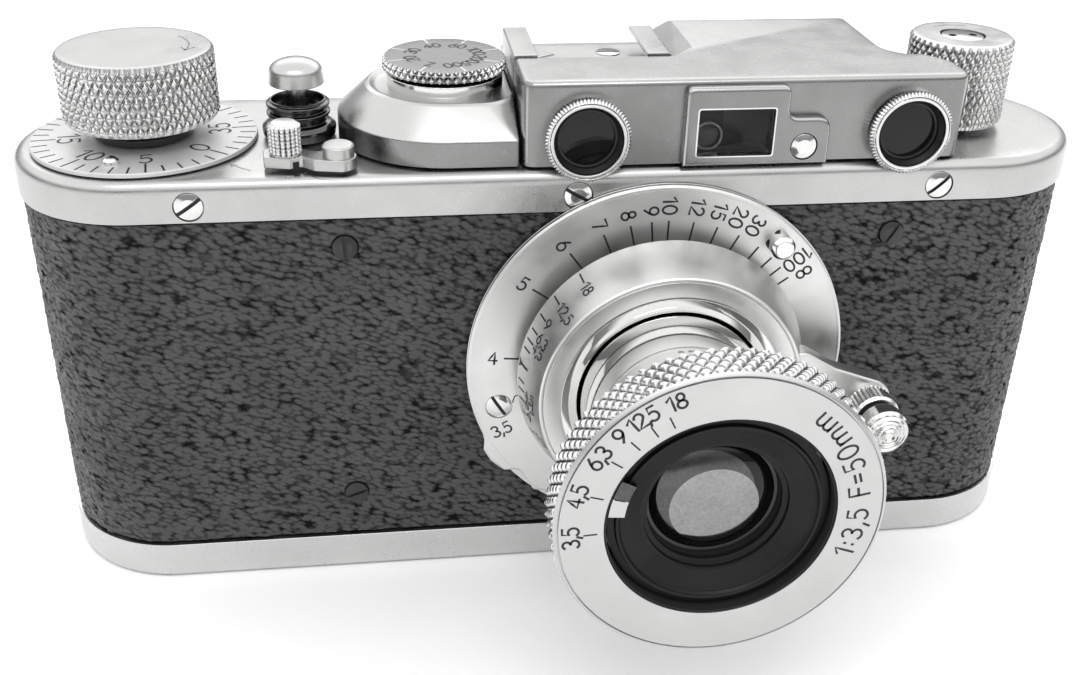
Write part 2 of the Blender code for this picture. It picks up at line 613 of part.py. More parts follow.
def build_focus_lever(axis):
    """The arm that leaves the cone at the right, ending in a knurled collar."""
    knob = point_at(KNOB_RADIUS_FROM_AXIS, math.degrees(KNOB_ANGLE))
    turn = math.degrees(KNOB_ANGLE)
    outline = [point_at(0.0162, turn + 23), point_at(0.0183, turn + 19), point_at(0.0220, turn + 13)]
    outline += arc(knob, 0.0031, turn + 70, turn - 70, 8)
    outline += [point_at(0.0220, turn - 9), point_at(0.0183, turn - 12), point_at(0.0162, turn - 15)]
    back, face = -0.0212, -0.0236
    place = (knob[0], back, knob[1])
    arm = object_from(extruded(outline, "Y", face, back), "focus_lever", "satin_chrome", place, axis)
    rings = [circle("Y", knob, radius, height, 20)
             for radius, height in ((0.0024, face + 0.0006), (0.0029, face - 0.0004),
                                    (0.0029, face - 0.0034), (0.0026, face - 0.0038))]
    collar = cutter(skin(rings), "focus_lever_collar")
    combine(arm, collar, "UNION")
    root = [circle("Y", LENS, radius + 0.0002, height, 48) for radius, height in zip(CONE_RADIUS, CONE_Y)]
    mill(arm, skin(root))
    drill(arm, "Y", knob, 0.0016, face - 0.0050, face + 0.0002, 16)
    button = [(0.0012, face - 0.0016), (0.0012, face - 0.0048), (0.0028, face - 0.0049),
              (0.0028, face - 0.0064), (0.0024, face - 0.0068), (0.0024, face - 0.0073),
              (0.0018, face - 0.0076), (0.0018, face - 0.0080), (0.0012, face - 0.0082)]
    turned("infinity_button", "polished_steel", button, "Y", knob, steps=20, parent=axis)


def build_tube():
    """Collapsible tube with the front barrel and the glass it carries."""
    axis = pivot("tube_axis", (AXIS_X, TUBE_Y[0], AXIS_Z))
    inner = TUBE_RADIUS - 0.0010
    front, rear = TUBE_Y
    tube = [(inner, rear), (TUBE_RADIUS, rear), (TUBE_RADIUS, front), (inner, front)]
    turned("lens_tube", "polished_steel", tube, "Y", LENS, True, 32, axis)
    face, back = BARREL_Y
    bore = TUBE_RADIUS + 0.00035
    recess = 0.0124
    barrel = [(bore, back), (0.0174, back), (BARREL_RADIUS, back - 0.0005),
              (BARREL_RADIUS, face + 0.0005), (0.01755, face), (recess, face),
              (recess, face + 0.0036), (bore, face + 0.0036)]
    turned("front_barrel", "satin_chrome", barrel, "Y", LENS, True, 36, axis)
    cell = [(0.0073, -0.0330), (0.0099, -0.0330), (0.0099, -0.0453), (0.0073, -0.0453)]
    turned("lens_cell", "black_paint", cell, "Y", LENS, True, 24, axis)
    glass = [(0.0070, -0.0436), (0.0070, -0.0450), (0.0050, -0.0456), (0.0025, -0.0460), (0.0006, -0.0461)]
    turned("front_element", "glass", glass, "Y", LENS, steps=24, parent=axis)
    glass = [(0.0066, -0.0360), (0.0066, -0.0342), (0.0040, -0.0336), (0.0006, -0.0334)]
    turned("rear_element", "glass", glass, "Y", LENS, steps=18, parent=axis)
    build_aperture(axis)


def build_aperture(axis):
    """The black stop ring with its pointer, and the diaphragm that it drives."""
    rear, front = -0.0457, -0.0481
    funnel = [(0.0121, rear), (0.0121, front), (0.0112, front), (0.0073, front + 0.0021), (0.0073, rear)]
    ring = turned("aperture_ring", "black_paint", funnel, "Y", LENS, True, 28, axis)
    turn = math.degrees(POINTER_ANGLE)
    outline = arc(LENS, 0.0120, turn - 10, turn + 10, 5) + arc(LENS, 0.0108, turn + 10, turn - 10, 5)
    tab = cutter(extruded(outline, "Y", front - 0.0006, front + 0.0008), "aperture_pointer")
    combine(ring, tab, "UNION")
    leaves = [(0.0036, -0.0400), (0.0070, -0.0400), (0.0070, -0.0404), (0.0036, -0.0404)]
    turned("iris_ring", "blackened_steel", leaves, "Y", LENS, True, 18, axis)


# ---------------------------------------------------------------- the whole camera
SKIRT_SCREWS = [(-0.0448, 0.0528), (0.0000, 0.0528), (0.0445, 0.0528)]
COVERING_SCREWS = [(-0.0275, 0.0470), (-0.0278, 0.0119), (0.0395, 0.0465)]
EYEPIECES = [(0.0183, 0.0606, 0.0026), (0.0262, 0.0606, 0.0022)]


def build():
    clear_scene()
    build_shell()
    build_covering(COVERING_SCREWS)
    build_top_plate(SKIRT_SCREWS)
    build_screws("top_plate_screw", SKIRT_SCREWS, 0.00165)
    build_screws("covering_screw", COVERING_SCREWS, 0.0015)
    build_dial_boss()
    build_housing(EYEPIECES)
    build_shoe()
    build_finder()
    build_windows()
    build_eyepieces(EYEPIECES)
    build_release_collar()
    build_chamber()
    build_mount()
    build_base()
    build_base_lock()
    build_wind()
    build_release()
    build_dial()
    build_rewind()
    build_lever()
    build_focus()
    build_tube()


build()
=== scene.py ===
"""The looks of the rangefinder camera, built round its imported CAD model.

Row frame: +X is to the right seen from the front, the lens points along -Y and +Z is up.
Shapes are worked out in millimetres and become metres when a mesh is made.
"""
import math

import bmesh
import bpy
import numpy as np
from mathutils import Matrix, Vector


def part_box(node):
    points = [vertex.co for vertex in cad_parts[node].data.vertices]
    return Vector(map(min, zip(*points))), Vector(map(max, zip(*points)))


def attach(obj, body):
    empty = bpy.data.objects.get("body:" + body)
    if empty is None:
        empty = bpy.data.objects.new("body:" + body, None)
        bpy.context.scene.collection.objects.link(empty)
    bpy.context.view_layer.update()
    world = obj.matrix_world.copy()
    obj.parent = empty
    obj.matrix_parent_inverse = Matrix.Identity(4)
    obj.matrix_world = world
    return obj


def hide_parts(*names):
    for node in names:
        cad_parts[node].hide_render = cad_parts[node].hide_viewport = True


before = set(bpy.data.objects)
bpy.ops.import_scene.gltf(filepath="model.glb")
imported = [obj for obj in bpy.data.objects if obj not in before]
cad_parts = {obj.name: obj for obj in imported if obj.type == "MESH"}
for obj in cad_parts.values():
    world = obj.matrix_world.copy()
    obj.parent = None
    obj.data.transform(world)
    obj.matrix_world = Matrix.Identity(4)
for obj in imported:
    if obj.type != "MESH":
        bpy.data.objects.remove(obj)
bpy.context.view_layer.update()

MM = 0.001
TURN = 2 * math.pi


# ---------------------------------------------------------------- places, from the frame
def limits(node):
    low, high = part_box(node)
    return np.array(low) / MM, np.array(high) / MM


def middle(node):
    low, high = limits(node)
    return (low + high) / 2


BODY_LOW, BODY_HIGH = limits("top_plate")
TOP = BODY_HIGH[2]
SKIRT = BODY_LOW[2]
HALF_DEPTH = BODY_HIGH[1]
HALF_LENGTH = BODY_HIGH[0]
BASE_RIM = limits("base_plate")[1][2]
LENS = (middle("front_barrel")[0], middle("front_barrel")[2])
WIND = tuple(middle("wind_knob")[:2])
RELEASE = tuple(middle("release_button")[:2])
DIAL = tuple(middle("speed_dial")[:2])
REWIND = tuple(middle("rewind_knob")[:2])
COUNTER_FACE = limits("counter_disc")[1][2]
DIAL_FACE = limits("speed_dial")[1][2]
PIVOT = tuple(middle("rewind_lever_cap")[:2])
PEG = tuple(middle("rewind_lever_peg")[:2])
HOUSING_LOW, HOUSING_HIGH = limits("rangefinder_housing")
SHOE_LOW, SHOE_HIGH = limits("accessory_shoe")
FINDER_LOW, FINDER_HIGH = limits("viewfinder_glass")
FINDER_ROOM = 0.3  # the opening is this much larger than the glass on every side
WINDOW_RADIUS = 5.1
EYEPIECES = {"viewfinder_eyepiece": 2.6, "rangefinder_eyepiece": 2.2}  # and the radius of each bore
PLATE_FACE = limits("lens_flange")[0][1]
CONE_FRONT, CONE_REAR = limits("focus_cone")[0][1], limits("focus_cone")[1][1]
CONE_RADII = (16.15, 18.1)
BARREL_FRONT, BARREL_BACK = limits("front_barrel")[0][1], limits("front_barrel")[1][1]
FRONT_FACE = BARREL_FRONT + 0.03  # the flat that carries the front ring's numbers
BUTTON = tuple(middle("infinity_button")[::2])
LOCK = tuple(middle("base_lock_key")[:2])
TRIPOD = tuple(middle("tripod_bush")[:2])


# ---------------------------------------------------------------- finishes
# near black for sharp hollows: painted shade, with some dirt
GROOVE_DIRT_AND_SHADE = (0.035, 0.034, 0.032, 1)
CLOUDS = 0.3, 0.7  # the range in which a noise's values lie
BROAD = 14.0
GLOSS_PATCH = 5.0
WEAR_EDGE = 0.12
GRAIN_DEPTH = 0.02
# near black for the painted shade in the leather's creases
CREASE_SHADE = (0.009, 0.009, 0.009, 1)
PEBBLE = (1.05 * MM, 0.95 * MM, 0.50 * MM)  # length, depth and height of a leather cell


def add(tree, kind, inputs, **settings):
    """A shader node; each input takes a value or another node's output."""
    made = tree.nodes.new("ShaderNode" + kind)
    for key, value in settings.items():
        setattr(made, key, value)
    for key, value in inputs.items():
        if isinstance(value, bpy.types.NodeSocket):
            tree.links.new(value, made.inputs[key])
        else:
            made.inputs[key].default_value = value
    return made


def remap(tree, value, low, high, start=0.0, end=1.0):
    """Spread a value's range from low to high over start to end."""
    inputs = {"Value": value, "From Min": low, "From Max": high, "To Min": start, "To Max": end}
    return add(tree, "MapRange", inputs).outputs["Result"]


def blend(tree, share, first, second):
    """Mix two colours, each an output or a plain colour, by the share of the second."""
    return add(tree, "Mix", {0: share, 6: first, 7: second}, data_type="RGBA").outputs[2]


def tint(colour, strength=1.0):
    """A colour, made paler or darker, as a shader takes it."""
    return (*(min(1, c * strength) for c in colour), 1)


def surface(name, colour, roughness, metallic=1.0, size=0.16, grain=0.3, mottle=0.07, spread=0.08,
            stretch=(1, 1, 1), wear=None, dirt_and_shade=None, sheen=0.5):
    """A finish with cloudy tone, uneven gloss and fine grain. Sizes are in millimetres.

    wear gives the rubbed tone, where rubbing starts and how broad its patches are; the next setting gives the
    range of sharpness over which hollows darken towards near black, a painted shade with some dirt.
    """
    made = bpy.data.materials.new(name)
    made.use_nodes = True
    tree = made.node_tree
    shader = tree.nodes["Principled BSDF"]
    place = add(tree, "TexCoord", {}).outputs["Object"]
    place = add(tree, "Mapping", {"Vector": place, "Scale": stretch}).outputs["Vector"]

    def clouds(across, detail, rough=0.6):
        inputs = {"Vector": place, "Scale": 1 / (across * MM), "Detail": detail, "Roughness": rough}
        return add(tree, "TexNoise", inputs).outputs["Fac"]

    fine = clouds(size, 3)
    halves = [remap(tree, value, *CLOUDS, 0.0, 0.5) for value in (clouds(BROAD, 4), fine)]
    share = add(tree, "Math", dict(enumerate(halves))).outputs[0]
    base = blend(tree, share, tint(colour, 1 - mottle), tint(colour, 1 + mottle))
    if wear:
        rubbed, start, across = wear
        patch = remap(tree, clouds(across, 6, 0.7), start, start + WEAR_EDGE)
        base = blend(tree, patch, base, tint(rubbed))
    # painted shade with some dirt: hollows that the pointiness finds go towards near black
    if dirt_and_shade:
        sharpness = add(tree, "NewGeometry", {}).outputs["Pointiness"]
        base = blend(tree, remap(tree, sharpness, *dirt_and_shade), GROOVE_DIRT_AND_SHADE, base)
    gloss = remap(tree, clouds(GLOSS_PATCH, 5), *CLOUDS, max(0.02, roughness - spread), roughness + spread)
    bump = add(tree, "Bump", {"Strength": grain, "Distance": GRAIN_DEPTH * MM, "Height": fine})
    tree.links.new(base, shader.inputs["Base Color"])
    tree.links.new(gloss, shader.inputs["Roughness"])
    tree.links.new(bump.outputs["Normal"], shader.inputs["Normal"])
    shader.inputs["Metallic"].default_value = metallic
    shader.inputs["Specular IOR Level"].default_value = sheen
    return made


CHROME = surface("body_chrome", (0.47, 0.47, 0.465), 0.31, grain=0.35, mottle=0.10,
                 wear=((0.38, 0.38, 0.375), 0.66, 6.0))
LENS_CHROME = surface("lens_chrome", (0.68, 0.68, 0.67), 0.36, size=0.14, mottle=0.06,
                      wear=((0.62, 0.62, 0.61), 0.70, 4.0))
HOUSING_CHROME = surface("housing_chrome", (0.40, 0.40, 0.395), 0.25, grain=0.4, mottle=0.12,
                         wear=((0.33, 0.33, 0.325), 0.66, 5.0))
# a darker copy of the housing chrome, for painted shade on chosen faces
SHADED_CHROME = surface("shaded_chrome", (0.25, 0.25, 0.247), 0.30, grain=0.4, mottle=0.14,
                      wear=((0.20, 0.20, 0.197), 0.66, 5.0))
PALE_CHROME = surface("pale_chrome", (0.60, 0.60, 0.595), 0.30, grain=0.35, mottle=0.08,
                      wear=((0.50, 0.50, 0.495), 0.68, 6.0))
FACE_CHROME = surface("ring_chrome", (0.53, 0.53, 0.525), 0.36, size=0.14,
                      wear=((0.46, 0.46, 0.455), 0.68, 4.0))
DISC_SILVER = surface("disc_silver", (0.60, 0.60, 0.595), 0.50, 0.55, size=0.14, grain=0.25, mottle=0.06)
GLOSS_BLACK = surface("black_nickel", (0.10, 0.10, 0.10), 0.15, size=0.3, grain=0.06, mottle=0.2,
                      wear=((0.25, 0.25, 0.25), 0.70, 1.5))
# its hollows carry painted shade with some dirt
KNURL = surface("knurl_chrome", (0.66, 0.66, 0.655), 0.22, size=0.10, grain=0.2, mottle=0.08,
                dirt_and_shade=(0.42, 0.505))
MIRROR = surface("mirror_nickel", (0.74, 0.74, 0.73), 0.06, size=0.3, grain=0.03, mottle=0.05, spread=0.03)
POLISHED = surface("polished_nickel", (0.68, 0.68, 0.67), 0.13, size=0.3, grain=0.06, mottle=0.05,
                   spread=0.05)
BLACKENED = surface("blackened_steel", (0.045, 0.045, 0.047), 0.36, 0.7, size=0.12, mottle=0.3,
                    wear=((0.30, 0.30, 0.29), 0.68, 1.2))
PAINT = surface("black_enamel", (0.006, 0.006, 0.0065), 0.38, 0.0, size=0.12, grain=0.2, mottle=0.3,
                sheen=0.22)
MATT_BLACK = surface("matt_black", (0.006, 0.006, 0.006), 0.75, 0.0, size=0.10, mottle=0.4)
# near black: the engravings' fill, and the painted shade that carve() leaves inside slots, holes and bores
INK_AND_HOLLOW_SHADE = surface("engraving_fill_and_hollow_shade", (0.012, 0.012, 0.012), 0.55, 0.0, size=0.06, grain=0.2, mottle=0.5)
FAINT = surface("bare_engraving", (0.20, 0.20, 0.20), 0.45, 0.6, size=0.06, grain=0.2, mottle=0.4)
LEATHER = surface("black_leather", (0.046, 0.046, 0.0465), 0.40, 0.0, size=0.11, grain=0.5, mottle=0.45,
                  spread=0.12, wear=((0.075, 0.075, 0.074), 0.60, 3.0), sheen=0.40)
BRASS = surface("turned_brass", (0.56, 0.42, 0.20), 0.30, size=0.12, grain=0.2, mottle=0.1,
                stretch=(1, 12, 1))
CLOTH = surface("curtain_cloth", (0.02, 0.02, 0.02), 0.9, 0.0, size=0.3, grain=1.0, mottle=0.4)
GLASS = surface("coated_glass", (0.004, 0.0042, 0.0045), 0.05, 0.0, size=0.4, grain=0.01, mottle=0.3,
                spread=0.03, sheen=0.32)
# a lighter tone for a painted reflection laid on the front glass
GLASS_REFLECTION_PAINT = surface("painted_glass_reflection", (0.26, 0.26, 0.265), 0.08, size=0.4, grain=0.01, mottle=0.3, spread=0.03)
DIM_MIRROR = surface("dim_mirror", (0.09, 0.09, 0.09), 0.2, size=0.3, grain=0.05, mottle=0.4)
CLEAR = surface("clear_glass", (0.95, 0.95, 0.95), 0.03, 0.0, size=0.4, grain=0.005, mottle=0.02, spread=0.02)
CLEAR.node_tree.nodes["Principled BSDF"].inputs["Transmission Weight"].default_value = 1.0
CLEAR.node_tree.nodes["Principled BSDF"].inputs["IOR"].default_value = 1.24


def pebble(made):
    """Cut the leather's creases: long cells, raised in the middle, with painted shade and lowered sheen in
    between.
    """
    tree = made.node_tree
    shader, bump = tree.nodes["Principled BSDF"], tree.nodes["Bump"]
    place = add(tree, "TexCoord", {}).outputs["Object"]
    warp = add(tree, "TexNoise", {"Vector": place, "Scale": 0.35 / MM}).outputs["Color"]
    reach = (0.5 * MM, 0.5 * MM, 0.5 * MM)
    swirl = add(tree, "VectorMath", {0: warp, 1: reach, 2: place}, operation="MULTIPLY_ADD").outputs[0]
    slant = (0, math.radians(18), 0)
    cell_frame = {"Vector": swirl, "Rotation": slant, "Scale": PEBBLE}
    within = add(tree, "Mapping", cell_frame, vector_type="TEXTURE").outputs[0]
    cell = add(tree, "TexVoronoi", {"Vector": within, "Scale": 1.0}).outputs["Distance"]
    # some creases are deep, with strong painted shade, and others hardly show
    depth = add(tree, "TexNoise", {"Vector": place, "Scale": 0.42 / MM}).outputs["Fac"]
    ridges = {0: remap(tree, cell, 0.86, 0.42), 1: remap(tree, depth, 0.48, 0.85)}
    level = add(tree, "Math", ridges, operation="MAXIMUM").outputs[0]
    base = shader.inputs["Base Color"].links[0].from_socket
    shine = add(tree, "Math", {0: level, 1: 0.5}, operation="MULTIPLY").outputs[0]
    rise = {0: level, 1: 9.0, 2: bump.inputs["Height"].links[0].from_socket}
    # painted shade: the creases' colour goes towards near black and their sheen drops
    tree.links.new(blend(tree, level, CREASE_SHADE, base), shader.inputs["Base Color"])
    tree.links.new(shine, shader.inputs["Specular IOR Level"])
    tree.links.new(add(tree, "Math", rise, operation="MULTIPLY_ADD").outputs[0], bump.inputs["Height"])


pebble(LEATHER)


# ---------------------------------------------------------------- shapes
def soften(points, closed=False, steps=5):
    """Round the corners of a section; a point's third number is the radius of its corner."""
    made = []
    count = len(points)
    for i, point in enumerate(points):
        here = np.array(point[:2], float)
        radius = point[2] if len(point) > 2 else 0
        if not radius or (not closed and i in (0, count - 1)):
            made.append(tuple(here))
            continue
        back = np.array(points[i - 1][:2], float) - here
        ahead = np.array(points[(i + 1) % count][:2], float) - here
        long_back, long_ahead = np.linalg.norm(back), np.linalg.norm(ahead)
        back, ahead = back / long_back, ahead / long_ahead
        corner = math.acos(max(-1, min(1, float(back @ ahead))))
        cut = min(radius / math.tan(corner / 2), 0.49 * long_back, 0.49 * long_ahead)
        for k in range(steps + 1):
            t = k / steps
            made.append(tuple(here + (1 - t) ** 2 * cut * back + t ** 2 * cut * ahead))
    return made


def arc(centre, radius, start, end, steps):
    turns = np.radians(np.linspace(start, end, steps + 1))
    return [(centre[0] + radius * math.cos(a), centre[1] + radius * math.sin(a)) for a in turns]


def polar(centre, radius, angle):
    turn = math.radians(angle)
    return (centre[0] + radius * math.cos(turn), centre[1] + radius * math.sin(turn))


def band(radius, low, high, rows):
    """A straight run of a section, in many short steps."""
    return [(radius, h) for h in np.linspace(low, high, rows)]


def grid_faces(rows, columns, closed=False):
    faces = []
    for r in range(rows if closed else rows - 1):
        a, b = r * columns, (r + 1) % rows * columns
        for c in range(columns):
            d = (c + 1) % columns
            faces.append((a + c, a + d, b + d, b + c))
    return faces


def capped(rows, columns):
    """The faces of a stack of rings with both ends closed."""
    ends = [tuple(range(columns)), tuple(range(columns * (rows - 1), columns * rows))]
    return grid_faces(rows, columns) + ends


def solid(name, verts, faces, finish, sharp=30):
    mesh = bpy.data.meshes.new(name)
    mesh.from_pydata((np.asarray(verts, float) * MM).tolist(), [], faces)
    bm = bmesh.new()
    bm.from_mesh(mesh)
    bmesh.ops.recalc_face_normals(bm, faces=bm.faces)
    bm.to_mesh(mesh)
    bm.free()
    mesh.materials.append(finish)
    made = bpy.data.objects.new(name, mesh)
    bpy.context.scene.collection.objects.link(made)
    shade(made, sharp)
    return made


def shade(piece, sharp=30):
    piece.data.shade_smooth()
    piece.data.set_sharp_from_angle(angle=math.radians(sharp))


def lathe(name, section, centre, finish, axis="Y", closed=False, steps=96, shape=None):
    """Turn a section of (radius, height) points about a line along Y or Z."""
    section = np.array(section, float)
    turns = np.linspace(0, TURN, steps, endpoint=False)[None, :]
    radius = np.repeat(section[:, :1], steps, axis=1)
    height = np.repeat(section[:, 1:], steps, axis=1)
    if shape:
        radius = shape(turns, height, radius)
    u, v = centre[0] + radius * np.cos(turns), centre[1] + radius * np.sin(turns)
    order = (u, v, height) if axis == "Z" else (u, height, v)
    verts = np.stack(order, axis=-1).reshape(-1, 3)
    faces = grid_faces(len(section), steps, True) if closed else capped(len(section), steps)
    return solid(name, verts, faces, finish)


def crest(x):
    """0 at each whole number, which is a groove, and 1 half way between two."""
    return 1 - np.abs(2 * (x - np.floor(x)) - 1)


def diamonds(outer, count, pitch, depth, flat=1.1, low=-1e9, high=1e9):
    """Crossed knurling cut into a cylinder; chamfers below the groove stay smooth."""
    def shape(turns, height, radius):
        a, b = turns * count / TURN, height / pitch
        peak = 1 - (1 - np.minimum(1, flat * np.minimum(crest(a + b), crest(a - b)))) ** 1.5
        cut = np.minimum(radius, outer - depth * (1 - peak))
        return np.where((height > low) & (height < high), cut, radius)
    return shape


def flutes(outer, count, depth, low=-1e9, high=1e9, reach=0.0):
    """Straight teeth round a rim, reaching a little way in over its corner."""
    def shape(turns, height, radius):
        cut = depth * (1 - crest(turns * count / TURN)) * (radius > outer - reach - 1e-6)
        return np.where((height > low) & (height < high), radius - cut, radius)
    return shape


def prism(name, corners, levels, finish, axis="Z", steps=5):
    """Stack insets of an outline, whose corners may carry radii: each level is (inset, height)."""
    p = np.array([c[:2] for c in corners], float)
    radii = np.array([c[2] if len(c) > 2 else 0 for c in corners], float)
    if np.sum(p[:, 0] * np.roll(p[:, 1], -1) - np.roll(p[:, 0], -1) * p[:, 1]) < 0:
        p, radii = p[::-1], radii[::-1]
    back, ahead = p - np.roll(p, 1, 0), np.roll(p, -1, 0) - p
    back /= np.linalg.norm(back, axis=1)[:, None]
    ahead /= np.linalg.norm(ahead, axis=1)[:, None]
    turn = np.sign(back[:, 0] * ahead[:, 1] - back[:, 1] * ahead[:, 0])
    side_back = np.stack([-back[:, 1], back[:, 0]], 1)
    mean = side_back + np.stack([-ahead[:, 1], ahead[:, 0]], 1)
    mean /= np.linalg.norm(mean, axis=1)[:, None]
    reach = 1 / np.maximum((mean * side_back).sum(1), 0.3)
    rings = []
    for amount, height in levels:
        sizes = np.where(radii > 0, np.maximum(radii - amount * turn, 0.02), 0)
        moved = p + mean * (amount * reach)[:, None]
        ring = np.array(soften([(*q, r) for q, r in zip(moved, sizes)], True, steps))
        column = np.full(len(ring), height)
        order = (ring[:, 0], ring[:, 1], column) if axis == "Z" else (ring[:, 0], column, ring[:, 1])
        rings.append(np.stack(order, 1))
    return solid(name, np.concatenate(rings), capped(len(rings), len(rings[0])), finish)


def round_box(x, y, radius):
    return [(x[0], y[0], radius), (x[1], y[0], radius), (x[1], y[1], radius), (x[0], y[1], radius)]


def carve(piece, *tools, shade_inside=False):
    """Cut the tools out of a piece and keep the result as its mesh; cuts flagged for it take the tools' near
    black inside, a painted shade.
    """
    for tool in tools:
        step = piece.modifiers.new("carve", "BOOLEAN")
        step.operation = "DIFFERENCE"
        step.material_mode = "TRANSFER" if shade_inside else "INDEX"
        step.solver = "EXACT"
        step.object = tool
    bpy.context.view_layer.update()
    graph = bpy.context.evaluated_depsgraph_get()
    mesh = bpy.data.meshes.new_from_object(piece.evaluated_get(graph))
    piece.modifiers.clear()
    piece.data = mesh
    for tool in tools:
        bpy.data.objects.remove(tool, do_unlink=True)
    shade(piece)
    return piece


def rod(centre, radius, low, high, axis="Y", steps=64):
    return lathe("tool", [(radius, low), (radius, high)], centre, INK_AND_HOLLOW_SHADE, axis, steps=steps)


def bar(x, y, z, spin=None):
    """A block, turned about Y through its own middle when spin is given in degrees."""
    made = prism("tool", [(x[0], y[0]), (x[1], y[0]), (x[1], y[1]), (x[0], y[1])],
                 [(0, z[0]), (0, z[1])], INK_AND_HOLLOW_SHADE)
    if spin is not None:
        centre = Vector((sum(x) / 2, sum(y) / 2, sum(z) / 2)) * MM
        turn = Matrix.Translation(centre) @ Matrix.Rotation(math.radians(-spin), 4, "Y")
        made.data.transform(turn @ Matrix.Translation(-centre))
    return made


def crisp(piece, width=0.1, angle=40):
    """Break the sharp edges so that they catch the light."""
    step = piece.modifiers.new("edges", "BEVEL")
    step.width = width * MM
    step.segments = 2
    step.limit_method = "ANGLE"
    step.angle_limit = math.radians(angle)
    return piece


def refinish(piece, finish, chosen):
    """Give a second finish to the faces that a test of centre and normal picks, in millimetres."""
    piece.data.materials.append(finish)
    for face in piece.data.polygons:
        if chosen(face.center / MM, face.normal):
            face.material_index = len(piece.data.materials) - 1


def fit(piece, body, finish_slot, *nodes):
    """Let a piece ride on its body and stand for its CAD nodes."""
    if nodes:
        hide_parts(*nodes)
    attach(piece, body)
    return piece


def turned(name, section, centre, finish, body, slot, *nodes, **form):
    """A turned piece that rides on its body."""
    return fit(lathe(name, section, centre, finish, **form), body, slot, *nodes)


def hoop(name, corners, centre, finish, body, slot, *nodes, rounding=5, **form):
    """A turned ring that rides on its body; its section's corners may carry radii."""
    section = soften(corners, True, rounding)
    return turned(name, section, centre, finish, body, slot, *nodes, closed=True, **form)


# ---------------------------------------------------------------- engraved marks
def bow(x, y, across, up, start, end, steps=14):
    turns = np.radians(np.linspace(start, end, steps + 1))
    return [(x + across * math.cos(a), y + up * math.sin(a)) for a in turns]


GLYPHS = {  # width, then the tool's strokes in a letter one unit high
    "0": (0.62, [bow(0.31, 0.5, 0.31, 0.5, 90, 450, 28)]),
    "1": (0.36, [[(0.0, 0.76), (0.30, 1.0), (0.30, 0.0)]]),
    "2": (0.58, [bow(0.28, 0.72, 0.27, 0.28, 165, -25) + [(0.0, 0.0), (0.58, 0.0)]]),
    "3": (0.56, [bow(0.26, 0.76, 0.25, 0.24, 150, -90) + bow(0.26, 0.26, 0.29, 0.26, 90, -150)]),
    "4": (0.62, [[(0.44, 0.0), (0.44, 1.0), (0.0, 0.30), (0.62, 0.30)]]),
    "5": (0.58, [[(0.52, 1.0), (0.12, 1.0), (0.07, 0.54)] + bow(0.27, 0.32, 0.30, 0.32, 128, -140)]),
    "6": (0.58, [[(0.44, 1.0), (0.16, 0.66)] + bow(0.29, 0.31, 0.28, 0.31, 155, -205, 24)]),
    "7": (0.56, [[(0.0, 1.0), (0.56, 1.0), (0.20, 0.0)]]),
    "8": (0.56, [bow(0.28, 0.76, 0.22, 0.24, -90, 270, 20), bow(0.28, 0.26, 0.28, 0.26, 90, 450, 24)]),
    "9": (0.58, [[(0.14, 0.0), (0.42, 0.34)] + bow(0.29, 0.69, 0.28, 0.31, -25, 335, 24)]),
    ",": (0.0, [[(0.06, 0.10), (-0.06, -0.22)]]),
    ":": (0.10, [[(0.05, 0.20), (0.05, 0.28)], [(0.05, 0.62), (0.05, 0.70)]]),
    "=": (0.46, [[(0.0, 0.36), (0.46, 0.36)], [(0.0, 0.62), (0.46, 0.62)]]),
    "F": (0.50, [[(0.50, 1.0), (0.0, 1.0), (0.0, 0.0)], [(0.0, 0.54), (0.42, 0.54)]]),
    "Z": (0.56, [[(0.0, 1.0), (0.56, 1.0), (0.0, 0.0), (0.58, 0.0)]]),
    "m": (0.84, [[(0.0, 0.0), (0.0, 0.66)], bow(0.21, 0.45, 0.21, 0.21, 180, 0) + [(0.42, 0.0)],
                 bow(0.63, 0.45, 0.21, 0.21, 180, 0) + [(0.84, 0.0)]]),
    "oo": (1.14, [bow(0.29, 0.5, 0.29, 0.30, 0, 360, 22), bow(0.86, 0.5, 0.28, 0.30, 180, 540, 22)]),
    " ": (0.30, []),
}


class Marks:
    """Cut-and-filled lines and numbers of one body, gathered into one mesh."""

    def __init__(self):
        self.verts, self.faces = [], []

    def line(self, points, place, width=0.2):
        """A round-ended groove along points that place() lays on the surface."""
        fine = [points[0]]
        for a, b in zip(points[:-1], points[1:]):
            count = max(1, int(math.dist(a, b) / 0.6))
            fine += [tuple(np.add(a, np.subtract(b, a) * k / count)) for k in range(1, count + 1)]
        p = np.array(fine, float)
        ahead = np.diff(p, axis=0)
        ahead /= np.maximum(np.linalg.norm(ahead, axis=1), 1e-9)[:, None]
        p[0] -= ahead[0] * width * 0.3
        p[-1] += ahead[-1] * width * 0.3
        both = np.concatenate([ahead[:1], ahead]) + np.concatenate([ahead, ahead[-1:]])
        both /= np.maximum(np.linalg.norm(both, axis=1), 0.6)[:, None]
        side = np.stack([-both[:, 1], both[:, 0]], 1) * width / 2
        start = len(self.verts)
        for centre, half in zip(p, side):
            self.verts.append(place(*(centre + half)))
            self.verts.append(place(*(centre - half)))
        for i in range(len(p) - 1):
            a = start + 2 * i
            self.faces.append((a, a + 1, a + 3, a + 2))

    def text(self, words, height, place, width=0.16, gap=0.30, start=None):
        """Letters side by side, centred on the place's own origin."""
        letters = [words] if words == "oo" else list(words)
        total = sum(GLYPHS[c][0] for c in letters) + gap * (len(letters) - 1)
        x = -total / 2 if start is None else start
        for letter in letters:
            advance, strokes = GLYPHS[letter]
            for stroke in strokes:
                points = [((x + u) * height, (v - 0.5) * height) for u, v in stroke]
                self.line(points, place, width)
            x += advance + gap

    def make(self, name, body, finish=INK_AND_HOLLOW_SHADE):
        made = solid(name, self.verts, self.faces, finish)
        return fit(made, body, "black_paint")


